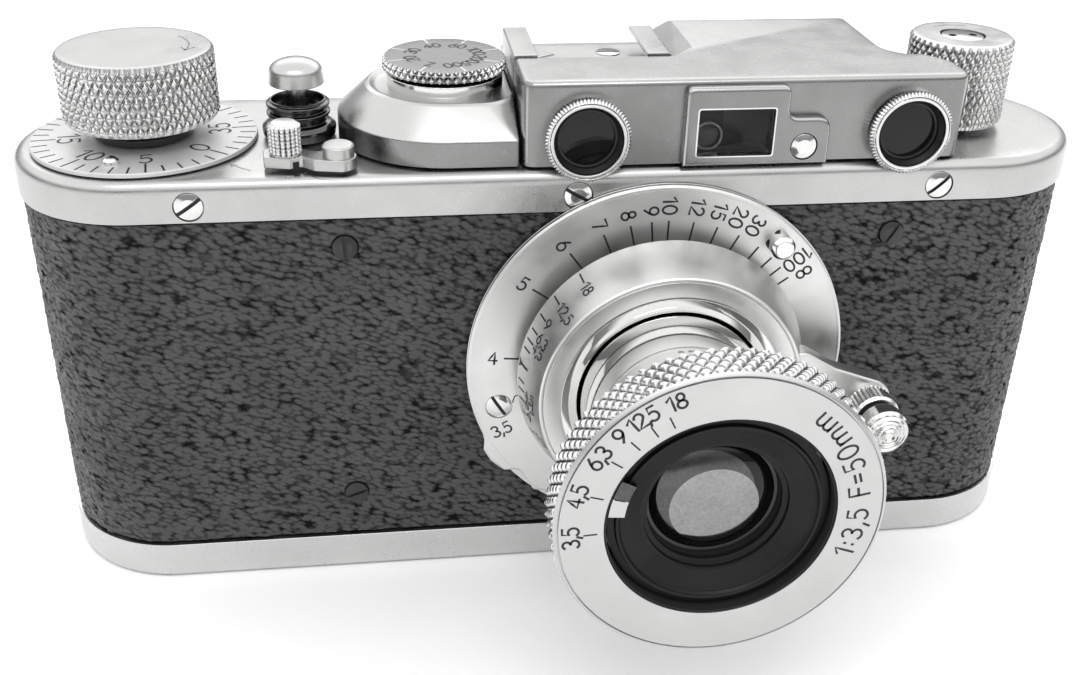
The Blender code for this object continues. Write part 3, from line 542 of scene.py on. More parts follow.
def heading(angle, tops):
    """Reading direction and letter tops at an angle round a centre."""
    c, s = math.cos(math.radians(angle)), math.sin(math.radians(angle))
    return {"out": ((s, -c), (c, s)), "in": ((-s, c), (-c, -s)), "along": ((-c, -s), (s, -c))}[tops]


def disc_place(centre, angle, radius, tops, height, axis="Z"):
    """Lays marks on a flat face round a centre, seen from above or from the front."""
    right, up = heading(angle, tops)
    x = radius * math.cos(math.radians(angle))
    y = radius * math.sin(math.radians(angle))

    def place(u, v):
        a, b = centre[0] + x + right[0] * u + up[0] * v, centre[1] + y + right[1] * u + up[1] * v
        return (a, b, height + 0.012) if axis == "Z" else (a, height - 0.012, b)
    return place


def cone_place(angle, start):
    """Lays marks on the focus cone: u runs forward along the slope and v round it, clockwise."""
    slope = (CONE_RADII[1] - CONE_RADII[0]) / (CONE_REAR - CONE_FRONT)

    def place(u, v):
        along = start + u
        radius = CONE_RADII[1] - slope * along + 0.015
        turn = math.radians(angle) - v / radius
        return (LENS[0] + radius * math.cos(turn), CONE_REAR - along, LENS[1] + radius * math.sin(turn))
    return place


def around(marks, words, angle, radius, tops, height, centre, level, axis, width, gap):
    """Letters bent round a circle, each on its own heading."""
    letters = list(words)
    total = sum(GLYPHS[c][0] for c in letters) + gap * (len(letters) - 1)
    run = -total / 2
    side = -1 if tops == "out" else 1
    for letter in letters:
        advance = GLYPHS[letter][0]
        turn = angle + side * math.degrees((run + advance / 2) * height / radius)
        marks.text(letter, height, disc_place(centre, turn, radius, tops, level, axis), width)
        run += advance + gap


# ---------------------------------------------------------------- body
def stadium(radius, steps=44):
    reach = HALF_LENGTH - HALF_DEPTH
    right = arc((reach, 0), radius, -90, 90, steps)
    left = arc((-reach, 0), radius, 90, 270, steps)
    return right + left


def screw(name, spot, radius, back, front, angle, body, nodes, finish=POLISHED, slotted=True):
    """A domed screw head facing forward, with its slot at an angle."""
    section = soften([(radius, back), (radius, front + 0.22, 0.08), (radius * 0.55, front + 0.04, 0.6),
                      (0.02, front)])
    head = lathe(name, section, spot, finish, steps=48)
    if slotted:
        x, z = spot
        # painted shade: the slot is near black inside
        carve(head, bar((x - radius - 1, x + radius + 1), (front - 1, front + 0.30),
                        (z - 0.22, z + 0.22), angle), shade_inside=True)
    fit(head, body, "polished_steel", *nodes)


def build_covers():
    outline = stadium(HALF_DEPTH)
    levels = soften([(1.0, TOP - 1.0), (1.0, SKIRT), (0, SKIRT, 0.12), (0, TOP, 1.6), (3.0, TOP)],
                    steps=8)
    top = prism("top_cover", outline, levels, CHROME)
    holes = []
    for number in (1, 2, 3):
        place = middle(f"top_plate_screw_{number}")
        holes.append(rod((place[0], place[2]), 1.78, -17, -14.2, steps=48))
    holes.append(rod(REWIND, 2.7, TOP - 2, TOP + 1, "Z"))
    fit(carve(top, *holes), "body", "satin_chrome", "top_plate")

    low = limits("base_plate")[0][2]
    levels = soften([(1.0, 1.2), (1.0, BASE_RIM), (0, BASE_RIM, 0.12), (0, low, 1.0), (3.0, low)],
                    steps=6)
    base = prism("base_cover", outline, levels, PALE_CHROME)
    carve(base, rod(LOCK, 7.9, -1, 3, "Z", 96), rod(TRIPOD, 6.3, -1, 3, "Z", 96))
    fit(base, "base", "satin_chrome", "base_plate")

    angles = {"top_plate_screw_1": 35, "top_plate_screw_2": -30, "top_plate_screw_3": 42,
              "covering_screw_1": 92, "covering_screw_2": 20, "covering_screw_3": 60}
    for node, angle in angles.items():
        low, high = limits(node)
        place = (low + high) / 2
        on_skirt = node.startswith("top")
        screw(node + "_head", (place[0], place[2]), (high[0] - low[0]) / 2, high[1], low[1], angle,
              "body", [node], POLISHED if on_skirt else BLACKENED)


def cells(x, y, seed):
    """Distances to the nearest and second nearest of scattered points, one per unit square."""
    jitter = np.random.default_rng(seed).random((256, 256, 2))
    ix, iy = np.floor(x).astype(int), np.floor(y).astype(int)
    first = np.full(x.shape, 9.0)
    second = np.full(x.shape, 9.0)
    for dx in (-1, 0, 1):
        for dy in (-1, 0, 1):
            spot = jitter[(ix + dx) % 256, (iy + dy) % 256]
            gap = np.hypot(ix + dx + spot[..., 0] - x, iy + dy + spot[..., 1] - y)
            second = np.minimum(second, np.maximum(first, gap))
            first = np.minimum(first, gap)
    return first, second


def build_leather():
    """The covering: a pebbled band round the body, with real relief and its openings."""
    low, high = limits("leather_covering")
    step = 0.30
    radius = high[1] - 0.10
    reach = HALF_LENGTH - HALF_DEPTH
    straight, half_round = 2 * reach, math.pi * radius
    length = 2 * (straight + half_round)
    columns, rows = int(length / step), int((high[2] - low[2]) / step)
    s = np.linspace(0, length, columns, endpoint=False)
    z = np.linspace(low[2], high[2], rows)
    # the run starts at the middle of the back and passes the left end, the front and the right end
    along = (s + straight / 2) % length
    x, y, nx, ny = (np.zeros(columns) for _ in range(4))
    for side, start in ((-1, straight), (1, 2 * straight + half_round)):
        end = (along >= start) & (along < start + half_round)
        turn = -side * math.pi / 2 + (along[end] - start) / radius
        nx[end], ny[end] = np.cos(turn), np.sin(turn)
        x[end], y[end] = side * reach + radius * nx[end], radius * ny[end]
    for side, start in ((1, 0), (-1, straight + half_round)):
        flat = (along >= start) & (along < start + straight)
        x[flat], y[flat], ny[flat] = side * (reach - along[flat] + start), side * radius, side
    front = flat

    # the relief: slanted long cells, smaller ones between them and a slow swell
    run, rise = np.meshgrid(s, z, indexing="ij")
    drift = 0.5 * np.sin(run * 0.31) + 0.4 * np.sin(rise * 0.43 + run * 0.17)
    c, d = math.cos(math.radians(-24)), math.sin(math.radians(-24))
    u, v = (run * c + rise * d + drift) / 1.25, (-run * d + rise * c + drift) / 0.70
    first, second = cells(u, v, 7)
    small, next_small = cells(u * 2.1 + 9, v * 2.1 + 5, 11)
    relief = 0.18 * np.minimum(1, (second - first) * 1.9) + 0.07 * np.minimum(1, (next_small - small) * 2)
    swell = 0.05 * np.sin(run * 0.9 + 2 * np.sin(rise * 0.5)) * np.sin(rise * 0.8 + np.sin(run * 0.37))
    lift = relief + swell - 0.20
    verts = np.stack([x[:, None] + nx[:, None] * lift, y[:, None] + ny[:, None] * lift, rise], -1)

    # openings, with the nearest points drawn in to the edge
    keep = np.ones((columns, rows), bool)
    holes = [(LENS, 20.1)]
    for number in (1, 2, 3):
        spot = middle(f"covering_screw_{number}")
        holes.append(((spot[0], spot[2]), 1.62))
    is_front = front[:, None] & np.ones((1, rows), bool)
    for centre, size in holes:
        dx, dz = verts[..., 0] - centre[0], verts[..., 2] - centre[1]
        away = np.hypot(dx, dz)
        near = is_front & (away < size + step * 0.7) & (away > size - step * 0.7)
        verts[..., 0] = np.where(near, centre[0] + dx * size / np.maximum(away, 1e-6), verts[..., 0])
        verts[..., 2] = np.where(near, centre[1] + dz * size / np.maximum(away, 1e-6), verts[..., 2])
        verts[..., 1] = np.where(near, -radius + 0.12, verts[..., 1])
        keep &= ~(is_front & (away < size - step * 0.7))
    faces = []
    for i in range(columns):
        j = (i + 1) % columns
        for k in range(rows - 1):
            if keep[i, k] and keep[j, k] and keep[i, k + 1] and keep[j, k + 1]:
                faces.append((i * rows + k, j * rows + k, j * rows + k + 1, i * rows + k + 1))
    # turned edges at the top and bottom
    edge = []
    for k in (0, rows - 1):
        start = columns * rows + len(edge)
        edge += list(np.stack([x - nx * 0.55, y - ny * 0.55, np.full(columns, z[k])], -1))
        for i in range(columns):
            j = (i + 1) % columns
            faces.append((i * rows + k, j * rows + k, start + j, start + i))
    points = np.concatenate([verts.reshape(-1, 3), np.array(edge)])
    fit(solid("leather_skin", points, faces, LEATHER, 70), "body", "covering", "leather_covering")


# ---------------------------------------------------------------- housing, shoe, finder
def finder_block(name, margin, radius, levels, finish):
    """A block with the outline of the finder's opening, larger by a margin."""
    low, high = FINDER_LOW - FINDER_ROOM, FINDER_HIGH + FINDER_ROOM
    outline = round_box((low[0] - margin, high[0] + margin), (low[2] - margin, high[2] + margin), radius)
    return prism(name, outline, levels, finish, "Y")


def window_centre(side):
    low, high = limits("window_ring_" + side)
    return (low[0] + high[0]) / 2, high[2] - WINDOW_RADIUS


def build_housing():
    left, right = HOUSING_LOW[0], HOUSING_HIGH[0]
    front, rear = HOUSING_LOW[1], HOUSING_HIGH[1]
    low, high = HOUSING_LOW[2], HOUSING_HIGH[2]
    waist = 40.0
    outline = [(left, rear, 1.1), (left, front, 1.8), (right, front, 2.0)]
    outline += arc((right - 6.0, front + 4.0), 6.0, 6, 58, 12)
    outline += arc((waist + 4.6, -0.5), 4.6, 238, 180, 12) + [(waist, rear, 1.0)]
    levels = soften([(0.0, low), (0, high, 1.3), (1.5, high)], steps=8)
    shell = prism("rangefinder_shell", outline, levels, HOUSING_CHROME)

    floor, edge = SHOE_LOW[2] - 0.2, SHOE_LOW[1] - 0.3
    foot, bend, brow = 13.0, 13.4, 16.0
    behind, beside = rear + 2, left - 2
    # the bay of the shoe, whose wall leans away as it rises
    rings = []
    for height, inner, corner in ((floor, foot, 0.1), (high - 1.5, bend, 0.4), (high, brow, 3.6),
                                  (high + 2, brow, 3.6)):
        rings += [(beside, edge, height), (foot, edge, height), (inner, edge + corner, height),
                  (inner, behind, height), (beside, behind, height)]
    carve(shell, solid("tool", rings, capped(4, 5), INK_AND_HOLLOW_SHADE))
    tools = [finder_block("tool", 0, 0.4, [(0, -16.5), (0, -8.0)], INK_AND_HOLLOW_SHADE)]
    tools += [rod(window_centre(side), 3.75, -16.5, -11.5) for side in ("left", "right")]
    tools += [rod(middle(node)[::2], bore, 10.0, 14.0) for node, bore in EYEPIECES.items()]
    # painted shade: the finder opening and the window and eyepiece bores are near black inside
    carve(shell, *tools, shade_inside=True)
    crisp(shell, 0.10, 38)
    # painted shade: faces that look forward, and the slopes that lean to the left, take the darker chrome
    refinish(shell, SHADED_CHROME, lambda spot, way: way.y < -0.80 or (way.x < -0.2 and 0.3 < way.z < 0.97))
    fit(shell, "body", "satin_chrome", "rangefinder_housing")


def build_shoe():
    low, high = SHOE_LOW, SHOE_HIGH
    wall, sheet, lip = 0.4, 0.6, 3.0
    half = [(low[0], low[2], 0.1), (low[0], high[2], 0.45), (low[0] + lip, high[2], 0.12),
            (low[0] + lip, high[2] - sheet, 0.12), (low[0] + wall, high[2] - sheet, 0.12),
            (low[0] + wall, low[2] + sheet)]
    both = low[0] + high[0]
    outline = half + [(both - p[0], *p[1:]) for p in reversed(half)]
    levels = [(0.06, low[1]), (0, low[1] + 0.06), (0, high[1] - 0.06), (0.06, high[1])]
    shoe = prism("shoe_channel", outline, levels, CHROME, "Y")
    fit(shoe, "body", "satin_chrome", "accessory_shoe")
    top = low[2] + sheet
    section = soften([(1.55, top - 0.3), (1.55, top + 0.12, 0.05), (0.02, top + 0.14)])
    head = lathe("shoe_screw", section, (6.5, 5.1), POLISHED, "Z", steps=48)
    # painted shade: the slot is near black inside
    carve(head, bar((4.0, 9.0), (4.95, 5.25), (top + 0.02, top + 1)), shade_inside=True)
    fit(head, "body", "polished_steel")
    tongue = prism("shoe_spring", [(-2.9, 2.9), (-0.5, 4.5), (-0.8, 4.9), (-3.1, 3.4)],
                   [(0, top), (0, top + 0.16), (0.08, top + 0.22)], POLISHED)
    fit(tongue, "body", "polished_steel")


def build_finder():
    back = HOUSING_LOW[1] - 0.05
    low, high = limits("viewfinder_frame")
    front, step_side, step_top = low[1], 24.6, 61.8
    outline = [(low[0], low[2], 0.05), (high[0], low[2], 0.05), (high[0], step_top, 1.8),
               (step_side, step_top, 1.2), (step_side, high[2], 1.0), (low[0], high[2], 1.0)]
    levels = soften([(0, back), (0, front, 0.95), (1.15, front)], steps=8)
    bezel = prism("finder_bezel", outline, levels, HOUSING_CHROME, "Y", 8)
    spot = middle("viewfinder_frame_screw")[::2]
    carve(bezel, finder_block("tool", 0, 0.3, [(0, -17), (0, -13)], INK_AND_HOLLOW_SHADE), rod(spot, 1.66, -17, -13))
    # painted shade: the bezel's forward faces take the darker chrome
    refinish(bezel, SHADED_CHROME, lambda spot, way: way.y < -0.97)
    fit(bezel, "body", "satin_chrome", "viewfinder_frame")
    low, high = limits("viewfinder_frame_screw")
    screw("finder_screw", spot, 1.52, high[1], low[1] + 0.05, 0, "body", ["viewfinder_frame_screw"],
          POLISHED, False)

    # a thin bright lining round the opening, the glass, a matt black sheet behind it as painted shade, and
    # what stands in the dark there
    levels = soften([(0, front + 1.2), (0, front - 0.06, 0.04), (0.2, front - 0.06)])
    lining = finder_block("finder_lining", 0.02, 0.4, levels, POLISHED)
    carve(lining, finder_block("tool", -0.16, 0.3, [(0, -17), (0, -10)], INK_AND_HOLLOW_SHADE))
    fit(lining, "body", "polished_steel")
    levels = [(0, front + 1.5), (0, front + 1.0), (0.1, front + 0.95)]
    fit(finder_block("finder_glass", -0.18, 0.3, levels, CLEAR), "body", "glass", "viewfinder_glass")
    # painted shade: a matt black sheet at the back of the opening
    levels = [(0, -8.2), (0, -8.8)]
    fit(finder_block("finder_shade_sheet", -0.05, 0.3, levels, MATT_BLACK), "body", "black_paint")
    left, foot = FINDER_LOW[0] - FINDER_ROOM, FINDER_LOW[2] - FINDER_ROOM
    spot = (left + 2.0, foot + 2.0)
    hoop("finder_lens_rim", [(1.45, -12.6), (1.75, -12.6), (1.75, -13.1, 0.05), (1.45, -13.1, 0.05)],
         spot, DIM_MIRROR, "body", "glass", steps=48)
    turned("finder_lens", [(1.45, -12.4), (1.45, -12.7), (0.8, -12.85), (0.05, -12.9)], spot, GLASS,
           "body", "glass", steps=48)
    outline = [(left + 3.9, -12.2), (left + 8.0, -9.6), (left + 7.8, -9.3), (left + 3.7, -11.9)]
    levels = [(0, foot + 0.4), (0, FINDER_HIGH[2] + FINDER_ROOM - 1.3)]
    fit(prism("finder_mirror", outline, levels, BLACKENED), "body", "glass")


def build_windows():
    teeth = 72
    for side in ("left", "right"):
        node = f"window_ring_{side}"
        low, high = limits(node)
        spot, front = window_centre(side), low[1]
        corners = [(4.0, high[1]), (4.7, high[1]), (WINDOW_RADIUS, front + 0.85, 0.1),
                   (WINDOW_RADIUS, front + 0.42, 0.1), (4.62, front + 0.02, 0.05), (4.5, front + 0.1),
                   (4.42, front, 0.04), (4.1, front, 0.1), (4.0, front + 0.5), (4.0, front + 1.4)]
        hoop(node + "_rim", corners, spot, KNURL, "body", "polished_steel", node, rounding=4,
             steps=teeth * 8, shape=flutes(WINDOW_RADIUS, teeth, 0.26, reach=0.45))
        corners = [(3.98, front + 0.35), (3.98, front + 3.6), (3.4, front + 3.6), (3.55, front + 0.9)]
        hoop(node + "_throat", corners, spot, PAINT, "body", "black_paint", steps=72)
        corners = [(3.42, front + 1.7), (3.6, front + 1.7), (3.6, front + 1.3, 0.05),
                   (3.3, front + 1.3, 0.05), (3.26, front + 1.7)]
        hoop(node + "_cell", corners, spot, BLACKENED, "body", "blackened_steel", steps=72)
        section = [(3.45, front + 2.0), (3.45, front + 1.72), (2.4, front + 1.60), (1.2, front + 1.53),
                   (0.05, front + 1.50)]
        turned(node + "_pane", section, spot, GLASS, "body", "glass", f"window_glass_{side}", steps=72)


def build_eyepieces():
    teeth = 60
    for node, bore in EYEPIECES.items():
        low, high = limits(node)
        spot, outer = middle(node)[::2], (high[0] - low[0]) / 2
        corners = [(bore, low[1]), (outer, low[1]), (outer, high[1], 0.35), (bore + 0.25, high[1], 0.2),
                   (bore, high[1] - 0.7, 0.1)]
        hoop(node + "_ring", corners, spot, BLACKENED, "body", "blackened_steel", node,
             steps=teeth * 8, shape=flutes(outer, teeth, 0.10, high=high[1] - 0.4))
        section = [(bore - 0.03, low[1] - 0.6), (bore - 0.03, low[1] + 0.3), (bore * 0.6, low[1] + 0.40),
                   (0.05, low[1] + 0.44)]
        turned(node + "_pane", section, spot, GLASS, "body", "glass", steps=64)


# ---------------------------------------------------------------- top controls
def knob(name, node, centre, outer, count, pitch, depth, chamfer, face_inset, drop=0.0):
    """A knurled knob with a plain turned face, whose foot may drop below its node's."""
    low, high = limits(node)
    foot = low[2] - drop
    rows = int((high[2] - foot - 2 * chamfer) / pitch * 9)
    section = [(outer - chamfer - 0.4, foot), (outer - chamfer, foot)]
    section += band(outer, foot + chamfer, high[2] - chamfer, rows)
    section += soften([(outer, high[2] - chamfer), (outer - chamfer * 0.9, high[2] - 0.02, 0.2),
                       (outer - chamfer - 0.5, high[2], 0.3), (face_inset, high[2])])[1:]
    return lathe(name, section, centre, KNURL, "Z", steps=count * 9,
                 shape=diamonds(outer, count, pitch, depth))


def build_wind():
    grip = knob("wind_grip", "wind_knob", WIND, 9.2, 50, 1.75, 0.42, 0.45, 0.05, 0.6)
    top = limits("wind_knob")[1][2]
    refinish(grip, CHROME, lambda spot, way: spot.z > top - 0.3)
    fit(grip, "wind", "satin_chrome", "wind_knob")
    foot = limits("wind_shaft")[0][2]
    section = soften([(0.05, foot), (3.0, foot), (3.0, 56.8), (5.8, 56.8), (5.9, 57.6, 0.2),
                      (5.0, 57.9, 0.2), (5.0, 59.4), (0.05, 59.4)])
    turned("wind_hub", section, WIND, BLACKENED, "wind", "blackened_steel", "wind_shaft", axis="Z", steps=72)
    marks = Marks()
    place = disc_place(WIND, 0, 0, "out", top)
    marks.line(arc((0, 0), 6.3, 132, 74, 16), place, 0.22)
    for radius in (5.5, 7.1):
        marks.line([polar((0, 0), 6.3, 74), polar((0, 0), radius, 86)], place, 0.22)
    marks.make("wind_arrow", "wind", FAINT)


def build_counter():
    rim, foot, top = 13.4, limits("counter_disc")[0][2], COUNTER_FACE
    hoop("counter_plate", [(3.4, foot), (rim, foot), (rim, top, 0.18), (3.4, top)], WIND, DISC_SILVER,
         "counter", "satin_chrome", "counter_disc", axis="Z", steps=160)
    marks = Marks()
    for i in range(40):
        angle = -37 - 9 * i
        long = i % 5 == 0
        place = disc_place(WIND, angle, 0, "out", top)
        marks.line([(0, 10.4 if long else 11.4), (0, 13.1)], place, 0.24)
        if long:
            marks.text(str(i), 2.5, disc_place(WIND, angle, 8.8, "in", top), 0.30, 0.24)
    marks.make("counter_marks", "counter")
    for side, angle in (("front", -104), ("rear", 76)):
        pin = soften([(0.95, top - 0.1), (0.95, top + 0.45, 0.2), (0.6, top + 0.75, 0.3), (0.03, top + 0.85)])
        turned("counter_pin_" + side, pin, polar(WIND, 10.2, angle), POLISHED, "counter", "polished_steel",
               axis="Z", steps=32)


def build_release():
    low, high = limits("release_collar")
    corners = [(1.4, low[2]), (4.35, low[2], 0.1), (4.5, 57.0, 0.1), (4.45, 57.35, 0.15),
               (3.9, 57.75, 0.3), (3.35, 57.9, 0.1)]
    for ridge in (58.95, 60.05):
        corners += [(3.35, ridge - 0.30, 0.08), (3.85, ridge - 0.20, 0.15), (3.85, ridge + 0.20, 0.15),
                    (3.35, ridge + 0.30, 0.08)]
    corners += [(3.4, high[2], 0.08), (3.15, high[2], 0.08), (3.0, 59.6), (1.4, 59.6)]
    hoop("release_thread", corners, RELEASE, GLOSS_BLACK, "body", "blackened_steel", "release_collar",
         rounding=4, axis="Z", steps=72)
    low, high = limits("release_button")
    section = soften([(1.0, low[2]), (1.0, 62.25, 0.1), (2.6, 62.3, 0.1), (3.35, 62.55, 0.15), (3.2, 64.0)])
    equator = 64.05
    section += [(3.22 * math.cos(a), equator + (high[2] - equator) * math.sin(a))
                for a in np.linspace(0.12, 1.56, 14)]
    turned("release_mushroom", section, RELEASE, CHROME, "release", "polished_steel", "release_button",
           axis="Z", steps=80)


BOSS_RADIUS = 13.2


def boss_outline(radius):
    """The boss at one level; its front corner at the housing grows rounder as the radius shrinks."""
    right, corner = HOUSING_LOW[0] - 0.3, 0.3 + (BOSS_RADIUS - radius)
    rounded = arc((right - corner, DIAL[1] - radius + corner), corner, 270, 360, 12)
    return arc(DIAL, radius, 90, 270, 48) + rounded + [(right, DIAL[1] + radius)]


def build_boss():
    low = limits("dial_boss")[0][2]
    shoulder = 59.2
    levels = soften([(BOSS_RADIUS, low), (BOSS_RADIUS, shoulder, 0.5), (9.75, 62.35, 0.35),
                     (9.25, 62.6, 0.3), (8.5, 62.0, 0.7), (7.4, 62.0)], steps=6)
    rings = [[(x, y, height) for x, y in boss_outline(radius)] for radius, height in levels]
    boss = solid("dial_mound", np.concatenate(rings), capped(len(rings), len(rings[0])), CHROME, 40)
    # painted shade: the boss's upright walls below the shoulder take the darker chrome
    refinish(boss, SHADED_CHROME, lambda spot, way: abs(way.z) < 0.2 and spot.z < shoulder + 0.1)
    fit(boss, "body", "satin_chrome", "dial_boss")
    low, high = limits("dial_collar")
    corners = [(2.3, 61.9), (7.1, 61.9), (7.1, high[2] - 0.1, 0.15), (6.6, high[2], 0.1), (2.3, high[2])]
    hoop("dial_neck", corners, DIAL, POLISHED, "body", "polished_steel", "dial_collar", axis="Z")


def build_dial():
    outer, count, base = 7.57, 46, 64.1
    foot, top = limits("speed_dial")[0][2], DIAL_FACE
    section = [(1.1, foot), (1.1, base), (6.9, base)]
    section += band(outer, base + 0.15, top - 0.16, 14)
    section += soften([(outer, top - 0.16), (7.2, top, 0.05), (5.4, top), (0.05, top)])[1:]
    disc = lathe("speed_disc", section, DIAL, KNURL, "Z", steps=count * 10,
                 shape=diamonds(outer, count, 1.24, 0.50))
    # painted shade: the face inside the knurl takes the darker chrome
    refinish(disc, SHADED_CHROME, lambda spot, way: math.dist(spot[:2], DIAL) < 7.15)
    fit(disc, "dial", "satin_chrome", "speed_dial")
    marks, lines = Marks(), Marks()
    for i, label in enumerate(("20", "30", "40", "60", "100", "200", "500", "Z")):
        angle = 198 - 45 * i
        lines.line([(0, 5.4), (0, 7.0)], disc_place(DIAL, angle, 0, "out", top), 0.26)
        marks.text(label, 1.5, disc_place(DIAL, angle, 4.2, "out", top), 0.26, 0.16)
    marks.make("speed_marks", "dial")
    lines.make("speed_lines", "dial", DISC_SILVER)


def build_rewind():
    grip = knob("rewind_grip_knob", "rewind_knob", REWIND, 6.5, 38, 1.55, 0.36, 0.42, 2.9)
    top = limits("rewind_knob")[1][2]
    carve(grip, rod(REWIND, 2.85, top - 0.6, top + 1, "Z"), rod(REWIND, 2.5, 50, top - 2.8, "Z"))
    fit(grip, "rewind_grip", "satin_chrome", "rewind_knob")
    section = soften([(2.6, top - 0.55), (2.6, top - 0.12, 0.1), (0.05, top - 0.05)])
    nut = lathe("rewind_nut", section, REWIND, POLISHED, "Z", steps=64)
    spots = [(REWIND[0] + offset, REWIND[1]) for offset in (-1.35, 1.35)]
    # painted shade: the spanner holes are near black inside
    carve(nut, *(rod(spot, 0.5, top - 0.45, top + 1, "Z", 24) for spot in spots), shade_inside=True)
    fit(nut, "rewind_grip", "polished_steel", "rewind_knob_nut")
    marks = Marks()
    marks.line(arc((0, 0), 4.4, 210, 152, 12), disc_place(REWIND, 0, 0, "out", top), 0.18)
    marks.make("rewind_arrow", "rewind_grip", FAINT)


def build_lever():
    x, y = PIVOT
    low, high = limits("rewind_lever")
    outline = arc(PIVOT, 2.1, -80, 95, 16)
    tail = ((2.6, 1.6, 0.8), (4.4, 2.6, 0.8), (8.1, 3.0, 0.4), (8.7, 2.5, 0.3), (8.5, -0.1, 0.2),
            (5.6, -0.7, 0.2), (4.2, -0.1, 0.4), (2.7, -1.5, 0.8))
    outline += [(x - away, y + side, corner) for away, side, corner in tail]
    foot = TOP + 0.45
    levels = soften([(0.1, foot), (0, foot + 0.08), (0, high[2], 0.14), (0.25, high[2])], steps=4)
    arm = prism("lever_arm", outline, levels, CHROME)
    # painted shade: the notch is near black inside
    carve(arm, bar((x - 5.2, x - 4.5), (y - 1.2, y + 0.1), (low[2] - 1, high[2] - 0.55)), shade_inside=True)
    fit(arm, "lever", "satin_chrome", "rewind_lever")
    low, high = limits("rewind_lever_cap")
    section = soften([(1.85, low[2] - 0.2), (1.85, high[2] - 0.18, 0.1), (1.6, high[2], 0.15),
                      (0.03, high[2])])
    turned("lever_cap", section, PIVOT, CHROME, "lever", "polished_steel", "rewind_lever_cap",
           axis="Z", steps=64)
    low, high = limits("rewind_lever_peg")
    outer, count = 1.9, 17
    section = [(1.6, low[2] - 0.2)] + band(outer, low[2], high[2] - 0.4, 40)
    section += soften([(outer, high[2] - 0.4), (1.35, high[2] - 0.03, 0.2), (0.03, high[2])])[1:]

    def ribs(turns, height, radius):
        rib = np.minimum(1, 1.6 * crest(turns * count / TURN))
        bead = np.minimum(1, 2.0 * crest(height / 0.46))
        return np.minimum(radius, outer - 0.26 * (1 - rib) - 0.07 * (1 - bead))
    turned("lever_peg", section, PEG, KNURL, "lever", "polished_steel", "rewind_lever_peg", axis="Z",
           steps=count * 10, shape=ribs)


def build_plate_marks():
    """Marks on the top plate: the counter's index and the arc beside the lever."""
    marks = Marks()
    place = disc_place(WIND, -41, 0, "out", TOP)
    marks.line([(0, 14.4), (0, 17.6)], place, 0.14)
    marks.line([(-0.45, 15.1), (0, 14.4), (0.45, 15.1)], place, 0.14)
    place = disc_place(PIVOT, 0, 0, "out", TOP)
    marks.line([(-b, a) for a, b in bow(0, 0, 4.0, 2.5, -175, -75, 18)], place, 0.10)
    marks.make("top_marks", "body", FAINT)


# ---------------------------------------------------------------- lens
def build_mount():
    low, high = limits("mount_ring")
    outer, step = (high[0] - low[0]) / 2, -15.1
    corners = [(17.2, high[1]), (19.8, high[1]), (19.8, step), (outer, step), (outer, low[1], 0.06),
               (17.2, low[1])]
    hoop("mount_seat", corners, LENS, POLISHED, "body", "satin_chrome", "mount_ring", steps=160)

    rim, face = 24.0, PLATE_FACE
    ear = ((24.25, 205.6, 0.5), (25.0, 208.5, 0.8), (25.1, 213, 0.8), (24.6, 218.5, 0.5),
           (23.2, 221, 0.7), (23.5, 226.5, 0.9), (24.2, 230.5, 0.7), (23.3, 234, 0.5))
    outline = arc(LENS, rim, -124, 203, 150)
    outline += [(*polar(LENS, radius, angle), corner) for radius, angle, corner in ear]
    back = limits("lens_flange")[1][1]
    levels = soften([(0, back), (0, face + 0.16, 0.03), (0.26, face, 0.05), (0.4, face)])
    plate = prism("distance_plate", outline, levels, LENS_CHROME, "Y")
    groove = [(23.42, face - 1), (23.56, face - 1), (23.56, face + 0.06), (23.42, face + 0.06)]
    groove = lathe("tool", groove, LENS, INK_AND_HOLLOW_SHADE, closed=True, steps=160)
    spot = polar(LENS, 20.75, 195)
    carve(plate, rod(LENS, 14.4, -20, -14, steps=128), groove, rod(spot, 1.75, -18, -15.6))
    fit(plate, "body", "satin_chrome", "lens_flange")
    screw("plate_screw", spot, 1.66, face + 0.3, face - 0.06, -58, "body", [])
    tip = limits("focus_stop_stud")[0][1]
    section = soften([(1.5, face + 0.1), (1.5, tip + 0.45, 0.15), (1.1, tip, 0.3), (0.03, tip)])
    turned("stop_stud", section, middle("focus_stop_stud")[::2], MIRROR, "body", "polished_steel",
           "focus_stop_stud", steps=48)


def build_distance_scale():
    """The distances round the plate: each has its line's angle and how far past it the number sits."""
    marks = Marks()
    ticks = 18.4
    rows = {1: 20.9, 2: 21.45, 3: 21.7}  # the radius for numbers of one, two and three figures
    scale = (("oo", 35.6, -1.6), ("100", 41.0, -1.6), ("50", 46.5, 3.4), ("30", 53.4, 5.9), ("20", 62.4, 3.6),
             ("15", 71.3, 1.5), ("12", 80.3, 0), ("10", 89.4, 0), ("9", 95.5, 0), ("8", 103.1, 0),
             ("7", 113.0, 0), ("6", 126.5, 0), ("5", 145.4, 0), ("4", 175.3, 0))
    for label, angle, past in scale:
        place = disc_place(LENS, angle, ticks, "along", PLATE_FACE, "Y")
        marks.line([(-1.05, 0), (1.6, 0)], place, 0.24)
        place = disc_place(LENS, angle + past, rows[len(label)], "along", PLATE_FACE, "Y")
        marks.text(label, 1.72, place, 0.27, 0.24)
    place = disc_place(LENS, 191.8, ticks, "along", PLATE_FACE, "Y")
    marks.line([(-0.5, -1.0), (-0.1, -0.2), (1.4, 0)], place, 0.17)
    marks.text("3,5", 1.62, disc_place(LENS, 204.2, 21.6, "along", PLATE_FACE, "Y"), 0.25, 0.2)
    marks.make("distance_marks", "body")


